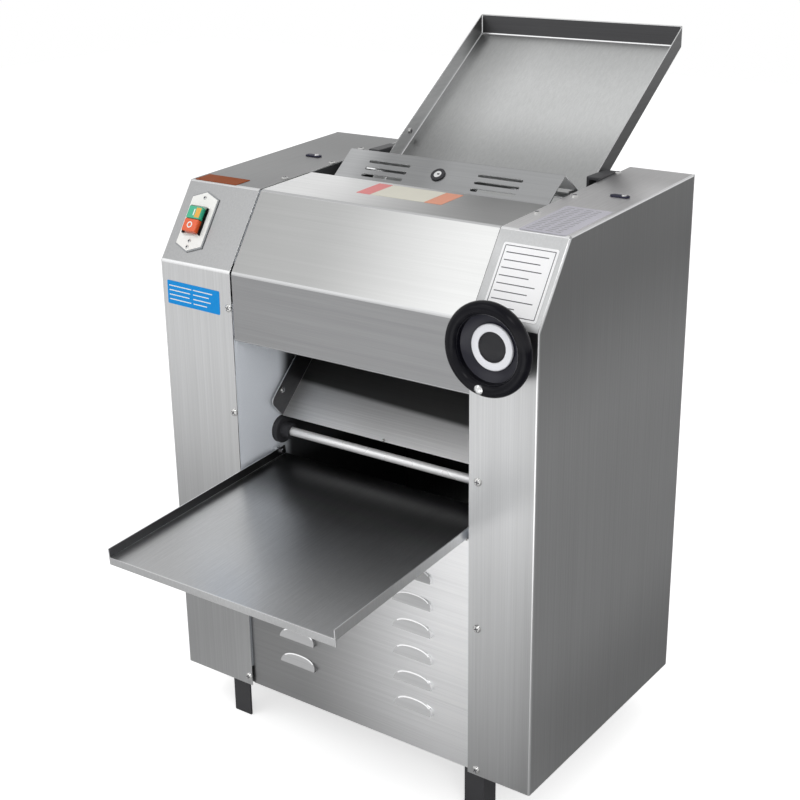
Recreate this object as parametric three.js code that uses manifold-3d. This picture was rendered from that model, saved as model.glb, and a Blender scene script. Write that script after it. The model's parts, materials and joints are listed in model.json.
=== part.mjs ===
// Electric dough press: two driven rollers between a pair of steel side plates, in a stainless
// casing on black angle legs. Millimetres, +Z up, the front faces -Y.
// Everything is placed from the casing: x from its middle, y from its front face, z from its lower
// edge. At the end the whole press is moved so that the origin lies under the middle of its box.

import * as THREE from 'three';
import { mergeVertices } from 'three/addons/utils/BufferGeometryUtils.js';
import Module from 'manifold-3d';

const wasm = await Module();
wasm.setup();

// Sheet metal, clearances and cuts
const SHEET = 1.5;
const GAP = 0.3;
const OVERRUN = 2;

// Casing
const CASING_WIDTH = 580;
const CASING_DEPTH = 385;
const LOWER_KNEE_HEIGHT = 608;
const KNEE_DEPTH = 66;
const KNEE_RISE = 96;
const TOP_RISE = 14;
const LEFT_COLUMN_WIDTH = 122;
const RIGHT_COLUMN_WIDTH = 92;
const REAR_PANEL_DIP = 28;

// Side plates that carry the rollers
const SIDE_PLATE = 10;
const CHAIN_NOTCH_DEPTH = 28;
const CHAIN_NOTCH_HEIGHT = 52;

// Legs, rails and motor plate
const LEG_HEIGHT = 62;
const ANGLE_SIZE = 30;
const ANGLE_THICKNESS = 4;
const STAND_INSET = 75;
const STAND_SETBACK = 8;
const MOTOR_PLATE_SIDE_CLEARANCE = 53;
const MOTOR_PLATE_THICKNESS = 6;

// Rollers and their journals
const ROLLER_DIAMETER = 110;
const ROLLER_BELOW_KNEE = 16;
const REAR_ROLLER_Y = 232;
const ROLLER_REST_GAP = 4;
const ROLLER_END_CLEARANCE = 4;
const ROLLER_CHAMFER = 2;
const JOURNAL_DIAMETER = 30;
const SLOT_CLEARANCE = 1;
const GAP_OPENING_TRAVEL = 9;
const GAP_CLOSING_TRAVEL = 3;

// Bearings of the rear roller and the sliding blocks of the front one
const BEARING_SPIGOT_DIAMETER = 62;
const BEARING_FLANGE_DIAMETER = 84;
const BEARING_FLANGE = 12;
const LEFT_BLOCK_WIDTH = 40;
const RIGHT_BLOCK_WIDTH = 62;
const BLOCK_HEIGHT = 56;
const BLOCK_NOSE = 58;
const BLOCK_TAIL = 28;
const BLOCK_WALL = 1;
const LEDGE_HEIGHT = 10;
const LEDGE_DEPTH = 12;

// Adjusting screws, their brackets, sprockets and chain
const SCREW_THREAD_DIAMETER = 20;
const SCREW_NECK_DIAMETER = 16;
const SCREW_SHAFT_DIAMETER = 14;
const SCREW_COLLAR_DIAMETER = 26;
const SCREW_COLLAR = 4;
const SCREW_ENGAGEMENT = 25;
const SCREW_HOLE_DEPTH = 36;
const BRACKET_FRONT = 33;
const BRACKET_THICKNESS = 10;
const BRACKET_MARGIN = 14;
const LEFT_SCREW_OUTSET = 20;
const SPROCKET_DIAMETER = 32;
const SPROCKET_THICKNESS = 5;
const SPROCKET_HUB_DIAMETER = 22;
const SPROCKET_HUB = 13;
const CHAIN_THICKNESS = 5;
const CHAIN_WIDTH = 9;
const CHAIN_PLANE_Y = 20;

// Handwheel
const WHEEL_OUTSET = 38;
const WHEEL_RIM_CENTRE_DIAMETER = 96;
const WHEEL_RIM_THICKNESS = 16;
const WHEEL_PLANE_Y = -36;
const WHEEL_DISH_DEPTH = 10;
const WHEEL_DISH_DIAMETER = 62;
const WHEEL_WEB = 5;
const WHEEL_HUB_DIAMETER = 36;
const WHEEL_HUB_CLEARANCE = 4;
const WHEEL_RING_OUTER_DIAMETER = 54.8;
const WHEEL_RING_INNER_DIAMETER = 35.8;
const WHEEL_RING_THICKNESS = 2.5;
const WHEEL_CAP_DEPTH = 4;
const WHEEL_CAP_FACE_SHARE = 0.8;

// Gears, pulleys and belt in the left column, by their distance out from the side plate
const MESH_TEETH = 19;
const MESH_TOOTH_OUTSIDE_PITCH = 5;
const MESH_TOOTH_INSIDE_PITCH = 10;
const MESH_ROOT_SHARE = 0.29;
const MESH_TIP_SHARE = 0.11;
const FINAL_ROOT_SHARE = 0.3;
const FINAL_TIP_SHARE = 0.12;
const ADDENDUM_SHARE = 1;
const DEDENDUM_SHARE = 1.3;
const MESH_GEAR_OUTSET = 44;
const MESH_GEAR_WIDTH = 14;
const FINAL_GEAR_TEETH = 60;
const PINION_TEETH = 20;
const FINAL_MODULE = 3;
const FINAL_BACKLASH = 0.3;
const FINAL_GEAR_OUTSET = 62;
const FINAL_GEAR_WIDTH = 12;
const GEAR_HUB_DIAMETER = 48;
const PULLEY_OUTSET = 78;
const PULLEY_WIDTH = 20;
const DRIVEN_PULLEY_DIAMETER = 240;
const MOTOR_PULLEY_DIAMETER = 60;
const PULLEY_GROOVE_DEPTH = 8;
const PULLEY_FLANGE = 3;
const PULLEY_WEB = 6;
const COUNTERSHAFT_DIAMETER = 25;
const COUNTERSHAFT_HOUSING_DIAMETER = 50;
const COUNTERSHAFT_HOUSING = 56;
const SHAFT_END = 4;

// Motor
const MOTOR_DIAMETER = 150;
const MOTOR_LENGTH = 220;
const MOTOR_CENTRE_HEIGHT = 80;
const MOTOR_Y = 200;
const MOTOR_FOOT_WIDTH = 150;
const MOTOR_FOOT_LENGTH = 120;
const MOTOR_FOOT = 12;
const MOTOR_NECK_WIDTH = 75;
const MOTOR_BOX = 60;
const MOTOR_SHIELD_DIAMETER = 100;
const MOTOR_SHIELD = 12;
const MOTOR_SHAFT_DIAMETER = 22;
const MOTOR_SHAFT_SEAT = 30;

// Hood over the rollers
const HOOD_DROP = 91;
const HOOD_REAR = 171;
const HOOD_LEFT_CLEARANCE = 3;
const HOOD_LIP = 18;
const HOOD_REAR_FLANGE = 12;

// Finger guard, its rod, lock and the bar that it rests on
const GUARD_SIDE_CLEARANCE = 16;
const GUARD_RIDGE_Y = 241;
const GUARD_RIDGE_RISE = 27;
const GUARD_SLOPE_ANGLE = 37.6;
const GUARD_FRONT_LENGTH = 56;
const GUARD_REAR_LENGTH = 40;
const GUARD_EAR = 18;
const GUARD_ROD_DIAMETER = 8;
const GUARD_ROD_DROP = 8;
const GUARD_SLOT_LENGTH_SHARE = 0.2;
const GUARD_SLOT_OFFSET_SHARE = 0.26;
const GUARD_SLOT_ROWS = 3;
const GUARD_SLOT_WIDTH = 5;
const GUARD_SLOT_PITCH = 12;
const GUARD_FIRST_SLOT = 19;
const GUARD_SLOT_SHIFT = -5;
const LOCK_FROM_RIDGE = 27;
const LOCK_OFFSET = -9.5;
const LOCK_HEAD_DIAMETER = 20;
const LOCK_HEAD = 2.5;
const LOCK_BARREL_DIAMETER = 16;
const LOCK_BARREL = 20;
const LOCK_TONGUE_LENGTH = 52;
const LOCK_TONGUE_WIDTH = 12;
const LOCK_TONGUE = 2.5;
const TIE_BAR_DEPTH = 26;
const TIE_BAR_HEIGHT = 12;

// Feed tray at the top
const FEED_TRAY_SIDE_CLEARANCE = 19;
const FEED_TRAY_ANGLE = 35;
const FEED_TRAY_LENGTH = 363.5;
const FEED_TRAY_WALL = 22;
const FEED_TRAY_REFERENCE_Y = 332;
const FEED_TRAY_REFERENCE_DROP = 13;
const FEED_TRAY_LOWER_REACH = 82;
const FEED_BRACKET_LENGTH = 50;
const FEED_BRACKET_Y = 325;
const FEED_BRACKET_SHEET = 4;
const FEED_BRACKET_LEG = 26;
const FEED_BRACKET_SKIRT = 28;
const FEED_BRACKET_ABOVE_TOP = 3;

// Receiving tray in front and its pins
const TRAY_LEFT_CLEARANCE = 13;
const TRAY_RIGHT_CLEARANCE = 5;
const TRAY_LENGTH = 326;
const TRAY_SLOPE = 3.8;
const TRAY_WALL = 12;
const TRAY_FRONT_FLANGE = 10;
const TRAY_HINGE_Y = 70;
const TRAY_HINGE_BELOW_ROLLERS = 251;
const TRAY_REAR_OVERLAP = 8;
const TRAY_PIN_DIAMETER = 8;
const TRAY_PIN_END = 3;

// Guide roller and its bushes
const GUIDE_ROLLER_DIAMETER = 12;
const GUIDE_ROLLER_Y = 86;
const GUIDE_ROLLER_ABOVE_HINGE = 25;
const BUSH_FLANGE_DIAMETER = 38;
const BUSH_FLANGE = 8;
const BUSH_BOSS_DIAMETER = 22;
const BUSH_LENGTH = 21;
const BUSH_FLOOR = 2;

// Discharge chute and scrapers
const CHUTE_SIDE_CLEARANCE = 8;
const CHUTE_LOWER_Y = 81;
const CHUTE_ABOVE_HINGE = 48;
const CHUTE_ANGLE = 43;
const CHUTE_LENGTH = 150;
const CHUTE_FLANGE = 34;
const CHUTE_FLANGE_LENGTH = 118;
const CHUTE_BOSS_DIAMETER = 14;
const SCRAPER_CLEARANCE = 0.8;
const SCRAPER_LENGTH = 44;
const SCRAPER_ANGLE = 52;
const SCRAPER_THICKNESS = 2;
const SCRAPER_BAR = 14;

// Louvred lower front panel
const PANEL_RECESS = 5;
const PANEL_FLANGE = 20;
const PANEL_GROUND_CLEARANCE = 2;
const LOUVRE_ROWS = 6;
const LOUVRE_COLUMN_SHARE = 0.264;
const LOUVRE_FIRST_SHARE = 0.2;
const LOUVRE_PITCH_SHARE = 0.113;
const LOUVRE_SHOULDER_SHARE = 0.75;
const LOUVRE_CROWN_SHARE = 0.6;
const LOUVRE_WIDTH = 60;
const LOUVRE_HEIGHT = 15;
const LOUVRE_DEPTH = 6;

// Switch on the sloping left face: distances up the slope from the lower knee
const SWITCH_INSET = 40;
const SWITCH_UP_SLOPE = 59;
const SWITCH_PLATE_WIDTH = 47;
const SWITCH_PLATE_HEIGHT = 87;
const SWITCH_PLATE_SIDE_HEIGHT = 69;
const SWITCH_PLATE_THICKNESS = 2;
const SWITCH_BOX_WIDTH = 28;
const SWITCH_BOX_HEIGHT = 40;
const SWITCH_BOX_RISE = 8;
const SWITCH_BOX_DEPTH = 34;
const SWITCH_BOX_WALL = 2;
const BUTTON_CLEARANCE = 0.6;
const BUTTON_TRAVEL = 3;
const BUTTON_PROUD = 5;

// Oil ports on top and the cable gland at the back
const OIL_PORT_LENGTH = 24;
const OIL_PORT_WIDTH = 9;
const OIL_PORT_RIM = 1.2;
const OIL_PORT_DEPTH = 5;
const OIL_PORT_Y = 244;
const LEFT_OIL_PORT_INSET = 68;
const RIGHT_OIL_PORT_INSET = 33;
const GLAND_INSET = 54;
const GLAND_HEIGHT = 60;
const GLAND_DIAMETER = 24;
const GLAND_THREAD_DIAMETER = 16;
const GLAND_PROUD = 14;
const GLAND_BORE = 8;

// How finely round shapes are drawn
const FINE_SEGMENTS = 40;
const ROUND_SEGMENTS = 28;
const SMALL_SEGMENTS = 16;
const HALF_ROUND_SEGMENTS = 8;

// Places that follow from the sizes above
const LEFT_FACE = -CASING_WIDTH / 2;
const RIGHT_FACE = CASING_WIDTH / 2;
const INNER_LEFT = LEFT_FACE + LEFT_COLUMN_WIDTH;
const INNER_RIGHT = RIGHT_FACE - RIGHT_COLUMN_WIDTH;
const OPENING_MIDDLE = (INNER_LEFT + INNER_RIGHT) / 2;
const LEFT_PLATE_OUTSIDE = INNER_LEFT - SIDE_PLATE;
const RIGHT_PLATE_OUTSIDE = INNER_RIGHT + SIDE_PLATE;
const CASING_REAR = CASING_DEPTH - SHEET - GAP;
const UPPER_KNEE_HEIGHT = LOWER_KNEE_HEIGHT + KNEE_RISE;
const REAR_HEIGHT = UPPER_KNEE_HEIGHT + TOP_RISE;
const ROLLER_HEIGHT = LOWER_KNEE_HEIGHT - ROLLER_BELOW_KNEE;
const ROLLER_SPACING = ROLLER_DIAMETER + ROLLER_REST_GAP;
const FRONT_ROLLER_Y = REAR_ROLLER_Y - ROLLER_SPACING;
const ROLLER_LEFT = INNER_LEFT + ROLLER_END_CLEARANCE;
const ROLLER_RIGHT = INNER_RIGHT - ROLLER_END_CLEARANCE;
const LEFT_SCREW_X = LEFT_PLATE_OUTSIDE - LEFT_SCREW_OUTSET;
const WHEEL_X = RIGHT_PLATE_OUTSIDE + WHEEL_OUTSET;
const WHEEL_DISH_Y = WHEEL_PLANE_Y + WHEEL_DISH_DEPTH;
const TRAY_HINGE_HEIGHT = ROLLER_HEIGHT - TRAY_HINGE_BELOW_ROLLERS;
const TRAY_LEFT_X = INNER_LEFT + TRAY_LEFT_CLEARANCE;
const TRAY_RIGHT_X = INNER_RIGHT - TRAY_RIGHT_CLEARANCE;
const GUIDE_ROLLER_HEIGHT = TRAY_HINGE_HEIGHT + GUIDE_ROLLER_ABOVE_HINGE;
const GUARD_RIDGE_HEIGHT = UPPER_KNEE_HEIGHT + GUARD_RIDGE_RISE;
const SWITCH_X = LEFT_FACE + SWITCH_INSET;
const LEFT_OIL_PORT_X = LEFT_FACE + LEFT_OIL_PORT_INSET;
const RIGHT_OIL_PORT_X = RIGHT_FACE - RIGHT_OIL_PORT_INSET;
const GLAND_X = LEFT_FACE + GLAND_INSET;
const FEED_TRAY_HALF_WIDTH = (INNER_RIGHT - INNER_LEFT) / 2 - FEED_TRAY_SIDE_CLEARANCE;
const FINAL_GEAR_RADIUS = FINAL_GEAR_TEETH * FINAL_MODULE / 2;
const PINION_RADIUS = PINION_TEETH * FINAL_MODULE / 2;
const COUNTERSHAFT_HEIGHT = ROLLER_HEIGHT - FINAL_GEAR_RADIUS - PINION_RADIUS - FINAL_BACKLASH;
const MOTOR_PLATE_TOP = ANGLE_SIZE + GAP + MOTOR_PLATE_THICKNESS;
const MOTOR_HEIGHT = MOTOR_PLATE_TOP + GAP + MOTOR_CENTRE_HEIGHT;
const MOTOR_LEFT = INNER_LEFT + ROLLER_END_CLEARANCE;

// Finishes
const stainless = new THREE.MeshStandardMaterial({ color: 0xb9bbba, roughness: 0.32, metalness: 1 });
const plateSteel = new THREE.MeshStandardMaterial({ color: 0xa6a9ac, roughness: 0.45, metalness: 1 });
const polishedSteel = new THREE.MeshStandardMaterial({ color: 0xd8dadb, roughness: 0.16, metalness: 1 });
const gearSteel = new THREE.MeshStandardMaterial({ color: 0x77797c, roughness: 0.5, metalness: 1 });
const castIron = new THREE.MeshStandardMaterial({ color: 0x3a4a42, roughness: 0.6, metalness: 0.3 });
const blackPaint = new THREE.MeshStandardMaterial({ color: 0x18191b, roughness: 0.5, metalness: 0.2 });
const blackNylon = new THREE.MeshStandardMaterial({ color: 0x141416, roughness: 0.45, metalness: 0 });
const bakelite = new THREE.MeshStandardMaterial({ color: 0x0b0b0d, roughness: 0.18, metalness: 0 });
const whitePlastic = new THREE.MeshStandardMaterial({ color: 0xf0f0ee, roughness: 0.35, metalness: 0 });
const greenPlastic = new THREE.MeshStandardMaterial({ color: 0x1f9a58, roughness: 0.3, metalness: 0 });
const redPlastic = new THREE.MeshStandardMaterial({ color: 0xd7402c, roughness: 0.3, metalness: 0 });
const beltRubber = new THREE.MeshStandardMaterial({ color: 0x1b1b1b, roughness: 0.85, metalness: 0 });

// Solids for cutting and joining

function solidOf(geometry) {
  const bare = geometry.clone();
  bare.deleteAttribute('normal');
  bare.deleteAttribute('uv');
  const merged = mergeVertices(bare);
  const corners = merged.index.array;
  const triangles = [];
  for (let first = 0; first < corners.length; first += 3) {
    const [a, b, c] = corners.slice(first, first + 3);
    if (a !== b && b !== c && a !== c) triangles.push(a, b, c);
  }
  return new wasm.Manifold(new wasm.Mesh({
    numProp: 3,
    vertProperties: merged.attributes.position.array,
    triVerts: new Uint32Array(triangles),
  }));
}

function geometryOf(solid) {
  const mesh = solid.getMesh();
  const geometry = new THREE.BufferGeometry();
  geometry.setAttribute('position', new THREE.BufferAttribute(mesh.vertProperties, mesh.numProp));
  geometry.setIndex(new THREE.BufferAttribute(mesh.triVerts, 1));
  const flat = geometry.toNonIndexed();
  flat.computeVertexNormals();
  return flat;
}

function join(...geometries) {
  return geometryOf(geometries.map(solidOf).reduce((whole, next) => whole.add(next)));
}

function cut(geometry, ...tools) {
  return geometryOf(tools.map(solidOf).reduce((whole, tool) => whole.subtract(tool), solidOf(geometry)));
}

// Plain shapes, each in the place that its arguments say

function box(x0, x1, y0, y1, z0, z1) {
  const geometry = new THREE.BoxGeometry(x1 - x0, y1 - y0, z1 - z0);
  return geometry.translate((x0 + x1) / 2, (y0 + y1) / 2, (z0 + z1) / 2);
}

function extruded(outline, length, segments) {
  const shape = outline instanceof THREE.Shape ? outline : new THREE.Shape(outline);
  return new THREE.ExtrudeGeometry(shape, { depth: length, bevelEnabled: false, curveSegments: segments });
}

// An outline in (y, z) carried along X
function alongX(outline, x0, x1, segments = HALF_ROUND_SEGMENTS) {
  const turn = new THREE.Matrix4().makeBasis(
    new THREE.Vector3(0, 1, 0), new THREE.Vector3(0, 0, 1), new THREE.Vector3(1, 0, 0));
  return extruded(outline, x1 - x0, segments).applyMatrix4(turn).translate(x0, 0, 0);
}

// An outline in (x, z) carried along Y
function alongY(outline, y0, y1) {
  return extruded(outline, y1 - y0, HALF_ROUND_SEGMENTS).rotateX(Math.PI / 2).translate(0, y1, 0);
}

// An outline in (x, y) carried along Z
function alongZ(outline, z0, z1) {
  return extruded(outline, z1 - z0, HALF_ROUND_SEGMENTS).translate(0, 0, z0);
}

// A turned piece about the X axis from [radius, x] pairs, the first repeated last on a ring
function turned(profile, segments = ROUND_SEGMENTS) {
  const points = profile.map(([radius, along]) => new THREE.Vector2(radius, along));
  const area = points.reduce((sum, point, index) => {
    return sum + point.cross(points[(index + 1) % points.length]);
  }, 0);
  if (area < 0) points.reverse();
  return new THREE.LatheGeometry(points, segments).rotateZ(-Math.PI / 2);
}

function ringProfile(inner, outer, start, end) {
  return [[inner, start], [outer, start], [outer, end], [inner, end], [inner, start]];
}

function rod(diameter, x0, x1, segments = SMALL_SEGMENTS) {
  return turned([[0, x0], [diameter / 2, x0], [diameter / 2, x1], [0, x1]], segments);
}

// A turned piece laid along Y instead of X
function ontoY(geometry) {
  return geometry.rotateZ(Math.PI / 2);
}

// A long hole's outline, round at both ends, about a centre
function longHole(length, width, centreX = 0, centreY = 0) {
  const shape = new THREE.Shape();
  const reach = (length - width) / 2;
  shape.absarc(centreX + reach, centreY, width / 2, -Math.PI / 2, Math.PI / 2);
  shape.absarc(centreX - reach, centreY, width / 2, Math.PI / 2, 3 * Math.PI / 2);
  return shape;
}

// Outlines of folded sheet

function crossing(first, second) {
  const between = second.through.clone().sub(first.through);
  const reach = between.cross(second.along) / first.along.cross(second.along);
  return first.through.clone().addScaledVector(first.along, reach);
}

function shiftedLine(start, end, distance) {
  const along = end.clone().sub(start).normalize();
  const side = new THREE.Vector2(along.y, -along.x);
  return { through: start.clone().addScaledVector(side, distance), along, side };
}

// A closed outline, listed clockwise, drawn in by a distance
function inset(outline, distance) {
  const lines = outline.map((start, index) => {
    return shiftedLine(start, outline[(index + 1) % outline.length], distance);
  });
  return lines.map((line, index) => crossing(lines[(index + lines.length - 1) % lines.length], line));
}

// A folded sheet's outline: the path is its outer face and the sheet lies to the right of it
function folded(path, thickness) {
  const points = path.map(([across, up]) => new THREE.Vector2(across, up));
  const lines = points.slice(1).map((end, index) => shiftedLine(points[index], end, thickness));
  const back = [lines[0].through];
  for (let index = 1; index < lines.length; index += 1) back.push(crossing(lines[index - 1], lines[index]));
  const last = lines[lines.length - 1];
  back.push(points[points.length - 1].clone().addScaledVector(last.side, thickness));
  return [...points, ...back.reverse()];
}

// The outline of a band round two wheels, as one closed hull of two circles
function hull(first, firstRadius, second, secondRadius, steps) {
  const apart = second.clone().sub(first);
  const heading = Math.atan2(apart.y, apart.x);
  const lean = Math.acos((firstRadius - secondRadius) / apart.length());
  const points = [];
  for (let step = 0; step <= steps; step += 1) {
    const angle = heading + lean + (2 * Math.PI - 2 * lean) * step / steps;
    points.push(first.clone().add(new THREE.Vector2(Math.cos(angle), Math.sin(angle)).multiplyScalar(firstRadius)));
  }
  for (let step = 0; step <= steps; step += 1) {
    const angle = heading - lean + 2 * lean * step / steps;
    points.push(second.clone().add(new THREE.Vector2(Math.cos(angle), Math.sin(angle)).multiplyScalar(secondRadius)));
  }
  return points;
}

function band(first, firstRadius, second, secondRadius, thickness, steps) {
  const shape = new THREE.Shape(hull(first, firstRadius + thickness, second, secondRadius + thickness, steps));
  shape.holes.push(new THREE.Path(hull(first, firstRadius, second, secondRadius, steps)));
  return shape;
}

// The casing's side outline in (y, z), clockwise from the lower front corner
const casingOutline = [
  new THREE.Vector2(0, 0),
  new THREE.Vector2(0, LOWER_KNEE_HEIGHT),
  new THREE.Vector2(KNEE_DEPTH, UPPER_KNEE_HEIGHT),
  new THREE.Vector2(CASING_REAR, casingTop(CASING_REAR)),
  new THREE.Vector2(CASING_REAR, 0),
];

function casingTop(y) {
  return UPPER_KNEE_HEIGHT + (REAR_HEIGHT - UPPER_KNEE_HEIGHT) * (y - KNEE_DEPTH) / (CASING_DEPTH - KNEE_DEPTH);
}

const slopeAngle = Math.atan2(UPPER_KNEE_HEIGHT - LOWER_KNEE_HEIGHT, KNEE_DEPTH);
const topAngle = Math.atan2(REAR_HEIGHT - UPPER_KNEE_HEIGHT, CASING_DEPTH - KNEE_DEPTH);

// Named meshes and the moving groups

const press = new THREE.Group();

function addPiece(group, name, material, geometry, x = 0, y = 0, z = 0) {
  const mesh = new THREE.Mesh(geometry, material);
  mesh.name = name;
  mesh.position.set(x, y, z);
  group.add(mesh);
  return mesh;
}

function addGroup(x, y, z, tilt = 0) {
  const group = new THREE.Group();
  group.position.set(x, y, z);
  group.rotation.x = tilt;
  press.add(group);
  return group;
}

// Column casings: one folded shell each, open below, behind and towards the rollers

function columnCasing(x0, x1, openX0, openX1) {
  const inner = inset(casingOutline, SHEET);
  const cavity = [
    new THREE.Vector2(inner[0].x, -OVERRUN),
    inner[1],
    inner[2],
    new THREE.Vector2(CASING_REAR + OVERRUN, inner[3].y),
    new THREE.Vector2(CASING_REAR + OVERRUN, -OVERRUN),
  ];
  return cut(alongX(casingOutline, x0, x1), alongX(cavity, openX0, openX1));
}

function oilPortHole(x) {
  const tool = alongZ(longHole(OIL_PORT_LENGTH, OIL_PORT_WIDTH), -OIL_PORT_DEPTH, OIL_PORT_DEPTH);
  return tool.rotateX(topAngle).translate(x, OIL_PORT_Y, casingTop(OIL_PORT_Y));
}

function switchPlace(geometry, upSlope = SWITCH_UP_SLOPE, height = 0) {
  const y = upSlope * Math.cos(slopeAngle) - height * Math.sin(slopeAngle);
  const z = LOWER_KNEE_HEIGHT + upSlope * Math.sin(slopeAngle) + height * Math.cos(slopeAngle);
  return geometry.rotateX(slopeAngle).translate(SWITCH_X, y, z);
}

function addCasings() {
  const switchHole = switchPlace(box(
    -SWITCH_BOX_WIDTH / 2 - GAP, SWITCH_BOX_WIDTH / 2 + GAP,
    -SWITCH_BOX_HEIGHT / 2 - GAP, SWITCH_BOX_HEIGHT / 2 + GAP,
    -SWITCH_BOX_DEPTH, SWITCH_BOX_DEPTH));
  const left = columnCasing(LEFT_FACE, INNER_LEFT, LEFT_FACE + SHEET, INNER_LEFT + OVERRUN);
  addPiece(press, 'left_casing', stainless, cut(left, switchHole, oilPortHole(LEFT_OIL_PORT_X)));
  const shaftHole = ontoY(rod(SCREW_SHAFT_DIAMETER + OVERRUN, -OVERRUN, SHEET + OVERRUN))
    .translate(WHEEL_X, 0, ROLLER_HEIGHT);
  const right = columnCasing(INNER_RIGHT, RIGHT_FACE, INNER_RIGHT - OVERRUN, RIGHT_FACE - SHEET);
  addPiece(press, 'right_casing', stainless, cut(right, shaftHole, oilPortHole(RIGHT_OIL_PORT_X)));
}

// Rear panel: full width, dipped between the columns so that the feed tray clears it

function addRearPanel() {
  const dip = REAR_HEIGHT - REAR_PANEL_DIP;
  const outline = [
    [LEFT_FACE, 0], [RIGHT_FACE, 0], [RIGHT_FACE, REAR_HEIGHT], [INNER_RIGHT, REAR_HEIGHT],
    [INNER_RIGHT, dip], [INNER_LEFT, dip], [INNER_LEFT, REAR_HEIGHT], [LEFT_FACE, REAR_HEIGHT],
  ].map(([x, z]) => new THREE.Vector2(x, z));
  const glandHole = ontoY(rod(GLAND_THREAD_DIAMETER + 2 * GAP, CASING_REAR - OVERRUN, CASING_DEPTH + OVERRUN))
    .translate(GLAND_X, 0, GLAND_HEIGHT);
  const panel = cut(alongY(outline, CASING_DEPTH - SHEET, CASING_DEPTH), glandHole);
  addPiece(press, 'rear_panel', stainless, panel);
  const thread = GLAND_THREAD_DIAMETER / 2;
  const head = GLAND_DIAMETER / 2;
  const start = CASING_DEPTH - SHEET - GLAND_PROUD;
  const face = CASING_DEPTH + GAP;
  const profile = [
    [GLAND_BORE / 2, start], [thread, start], [thread, face], [head, face],
    [head, face + GLAND_PROUD / 2], [thread, face + GLAND_PROUD], [GLAND_BORE / 2, face + GLAND_PROUD],
    [GLAND_BORE / 2, start],
  ];
  addPiece(press, 'cable_gland', blackNylon, ontoY(turned(profile, SMALL_SEGMENTS)), GLAND_X, 0, GLAND_HEIGHT);
}

// Hood: one sheet that follows the columns' knees over the rollers

function addHood() {
  const bottom = LOWER_KNEE_HEIGHT - HOOD_DROP;
  const rear = casingTop(HOOD_REAR);
  const path = [
    [HOOD_LIP, bottom], [0, bottom], [0, LOWER_KNEE_HEIGHT], [KNEE_DEPTH, UPPER_KNEE_HEIGHT],
    [HOOD_REAR, rear], [HOOD_REAR, rear - HOOD_REAR_FLANGE],
  ];
  const sheet = alongX(folded(path, SHEET), INNER_LEFT + HOOD_LEFT_CLEARANCE, INNER_RIGHT - GAP);
  addPiece(press, 'hood', stainless, sheet);
}

// Side plates: steel slabs inside the columns, bored for the rollers and shafts

function bearingHole(y, z, diameter, x0, x1) {
  return rod(diameter + 2 * GAP, x0 - OVERRUN, x1 + OVERRUN, ROUND_SEGMENTS).translate(0, y, z);
}

function journalSlot(x0, x1) {
  const travel = GAP_OPENING_TRAVEL + GAP_CLOSING_TRAVEL;
  const width = JOURNAL_DIAMETER + 2 * SLOT_CLEARANCE;
  const middle = FRONT_ROLLER_Y + (GAP_CLOSING_TRAVEL - GAP_OPENING_TRAVEL) / 2;
  return alongX(longHole(width + travel, width, middle, ROLLER_HEIGHT), x0 - OVERRUN, x1 + OVERRUN);
}

function chainNotch(x0, x1) {
  const half = CHAIN_NOTCH_HEIGHT / 2;
  return box(x0 - OVERRUN, x1 + OVERRUN, -OVERRUN, CHAIN_NOTCH_DEPTH, ROLLER_HEIGHT - half, ROLLER_HEIGHT + half);
}

// The welded parts outside a plate: two ledges that guide the block and the lug that holds the screw
function plateFittings(face, out, screwX) {
  const half = BLOCK_HEIGHT / 2;
  const lugRear = BRACKET_FRONT + BRACKET_THICKNESS;
  const ledgeRear = FRONT_ROLLER_Y + BLOCK_TAIL + GAP_CLOSING_TRAVEL;
  const outward = (reach, y0, y1, z0, z1) => {
    const ends = [face - out * OVERRUN, face + out * reach].sort((a, b) => a - b);
    return box(ends[0], ends[1], y0, y1, ROLLER_HEIGHT + z0, ROLLER_HEIGHT + z1);
  };
  const ledgeStart = half + GAP;
  const ledgeEnd = ledgeStart + LEDGE_HEIGHT;
  const lugReach = out * (screwX - face) + SCREW_COLLAR_DIAMETER / 2 + BRACKET_MARGIN;
  return [
    outward(LEDGE_DEPTH, BRACKET_FRONT, ledgeRear, ledgeStart, ledgeEnd),
    outward(LEDGE_DEPTH, BRACKET_FRONT, ledgeRear, -ledgeEnd, -ledgeStart),
    outward(lugReach, BRACKET_FRONT, lugRear, -ledgeEnd, ledgeEnd),
  ];
}

function sidePlate(x0, x1, face, out, screwX) {
  const outline = inset(casingOutline, SHEET + GAP);
  const foot = ANGLE_SIZE + GAP;
  outline[0] = new THREE.Vector2(outline[0].x, foot);
  outline[4] = new THREE.Vector2(outline[4].x, foot);
  const neckHole = ontoY(rod(SCREW_NECK_DIAMETER + 2 * GAP, BRACKET_FRONT - OVERRUN,
    BRACKET_FRONT + BRACKET_THICKNESS + OVERRUN)).translate(screwX, 0, ROLLER_HEIGHT);
  return cut(
    join(alongX(outline, x0, x1), ...plateFittings(face, out, screwX)),
    bearingHole(REAR_ROLLER_Y, ROLLER_HEIGHT, BEARING_SPIGOT_DIAMETER, x0, x1),
    journalSlot(x0, x1),
    chainNotch(x0, x1),
    neckHole);
}

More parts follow.
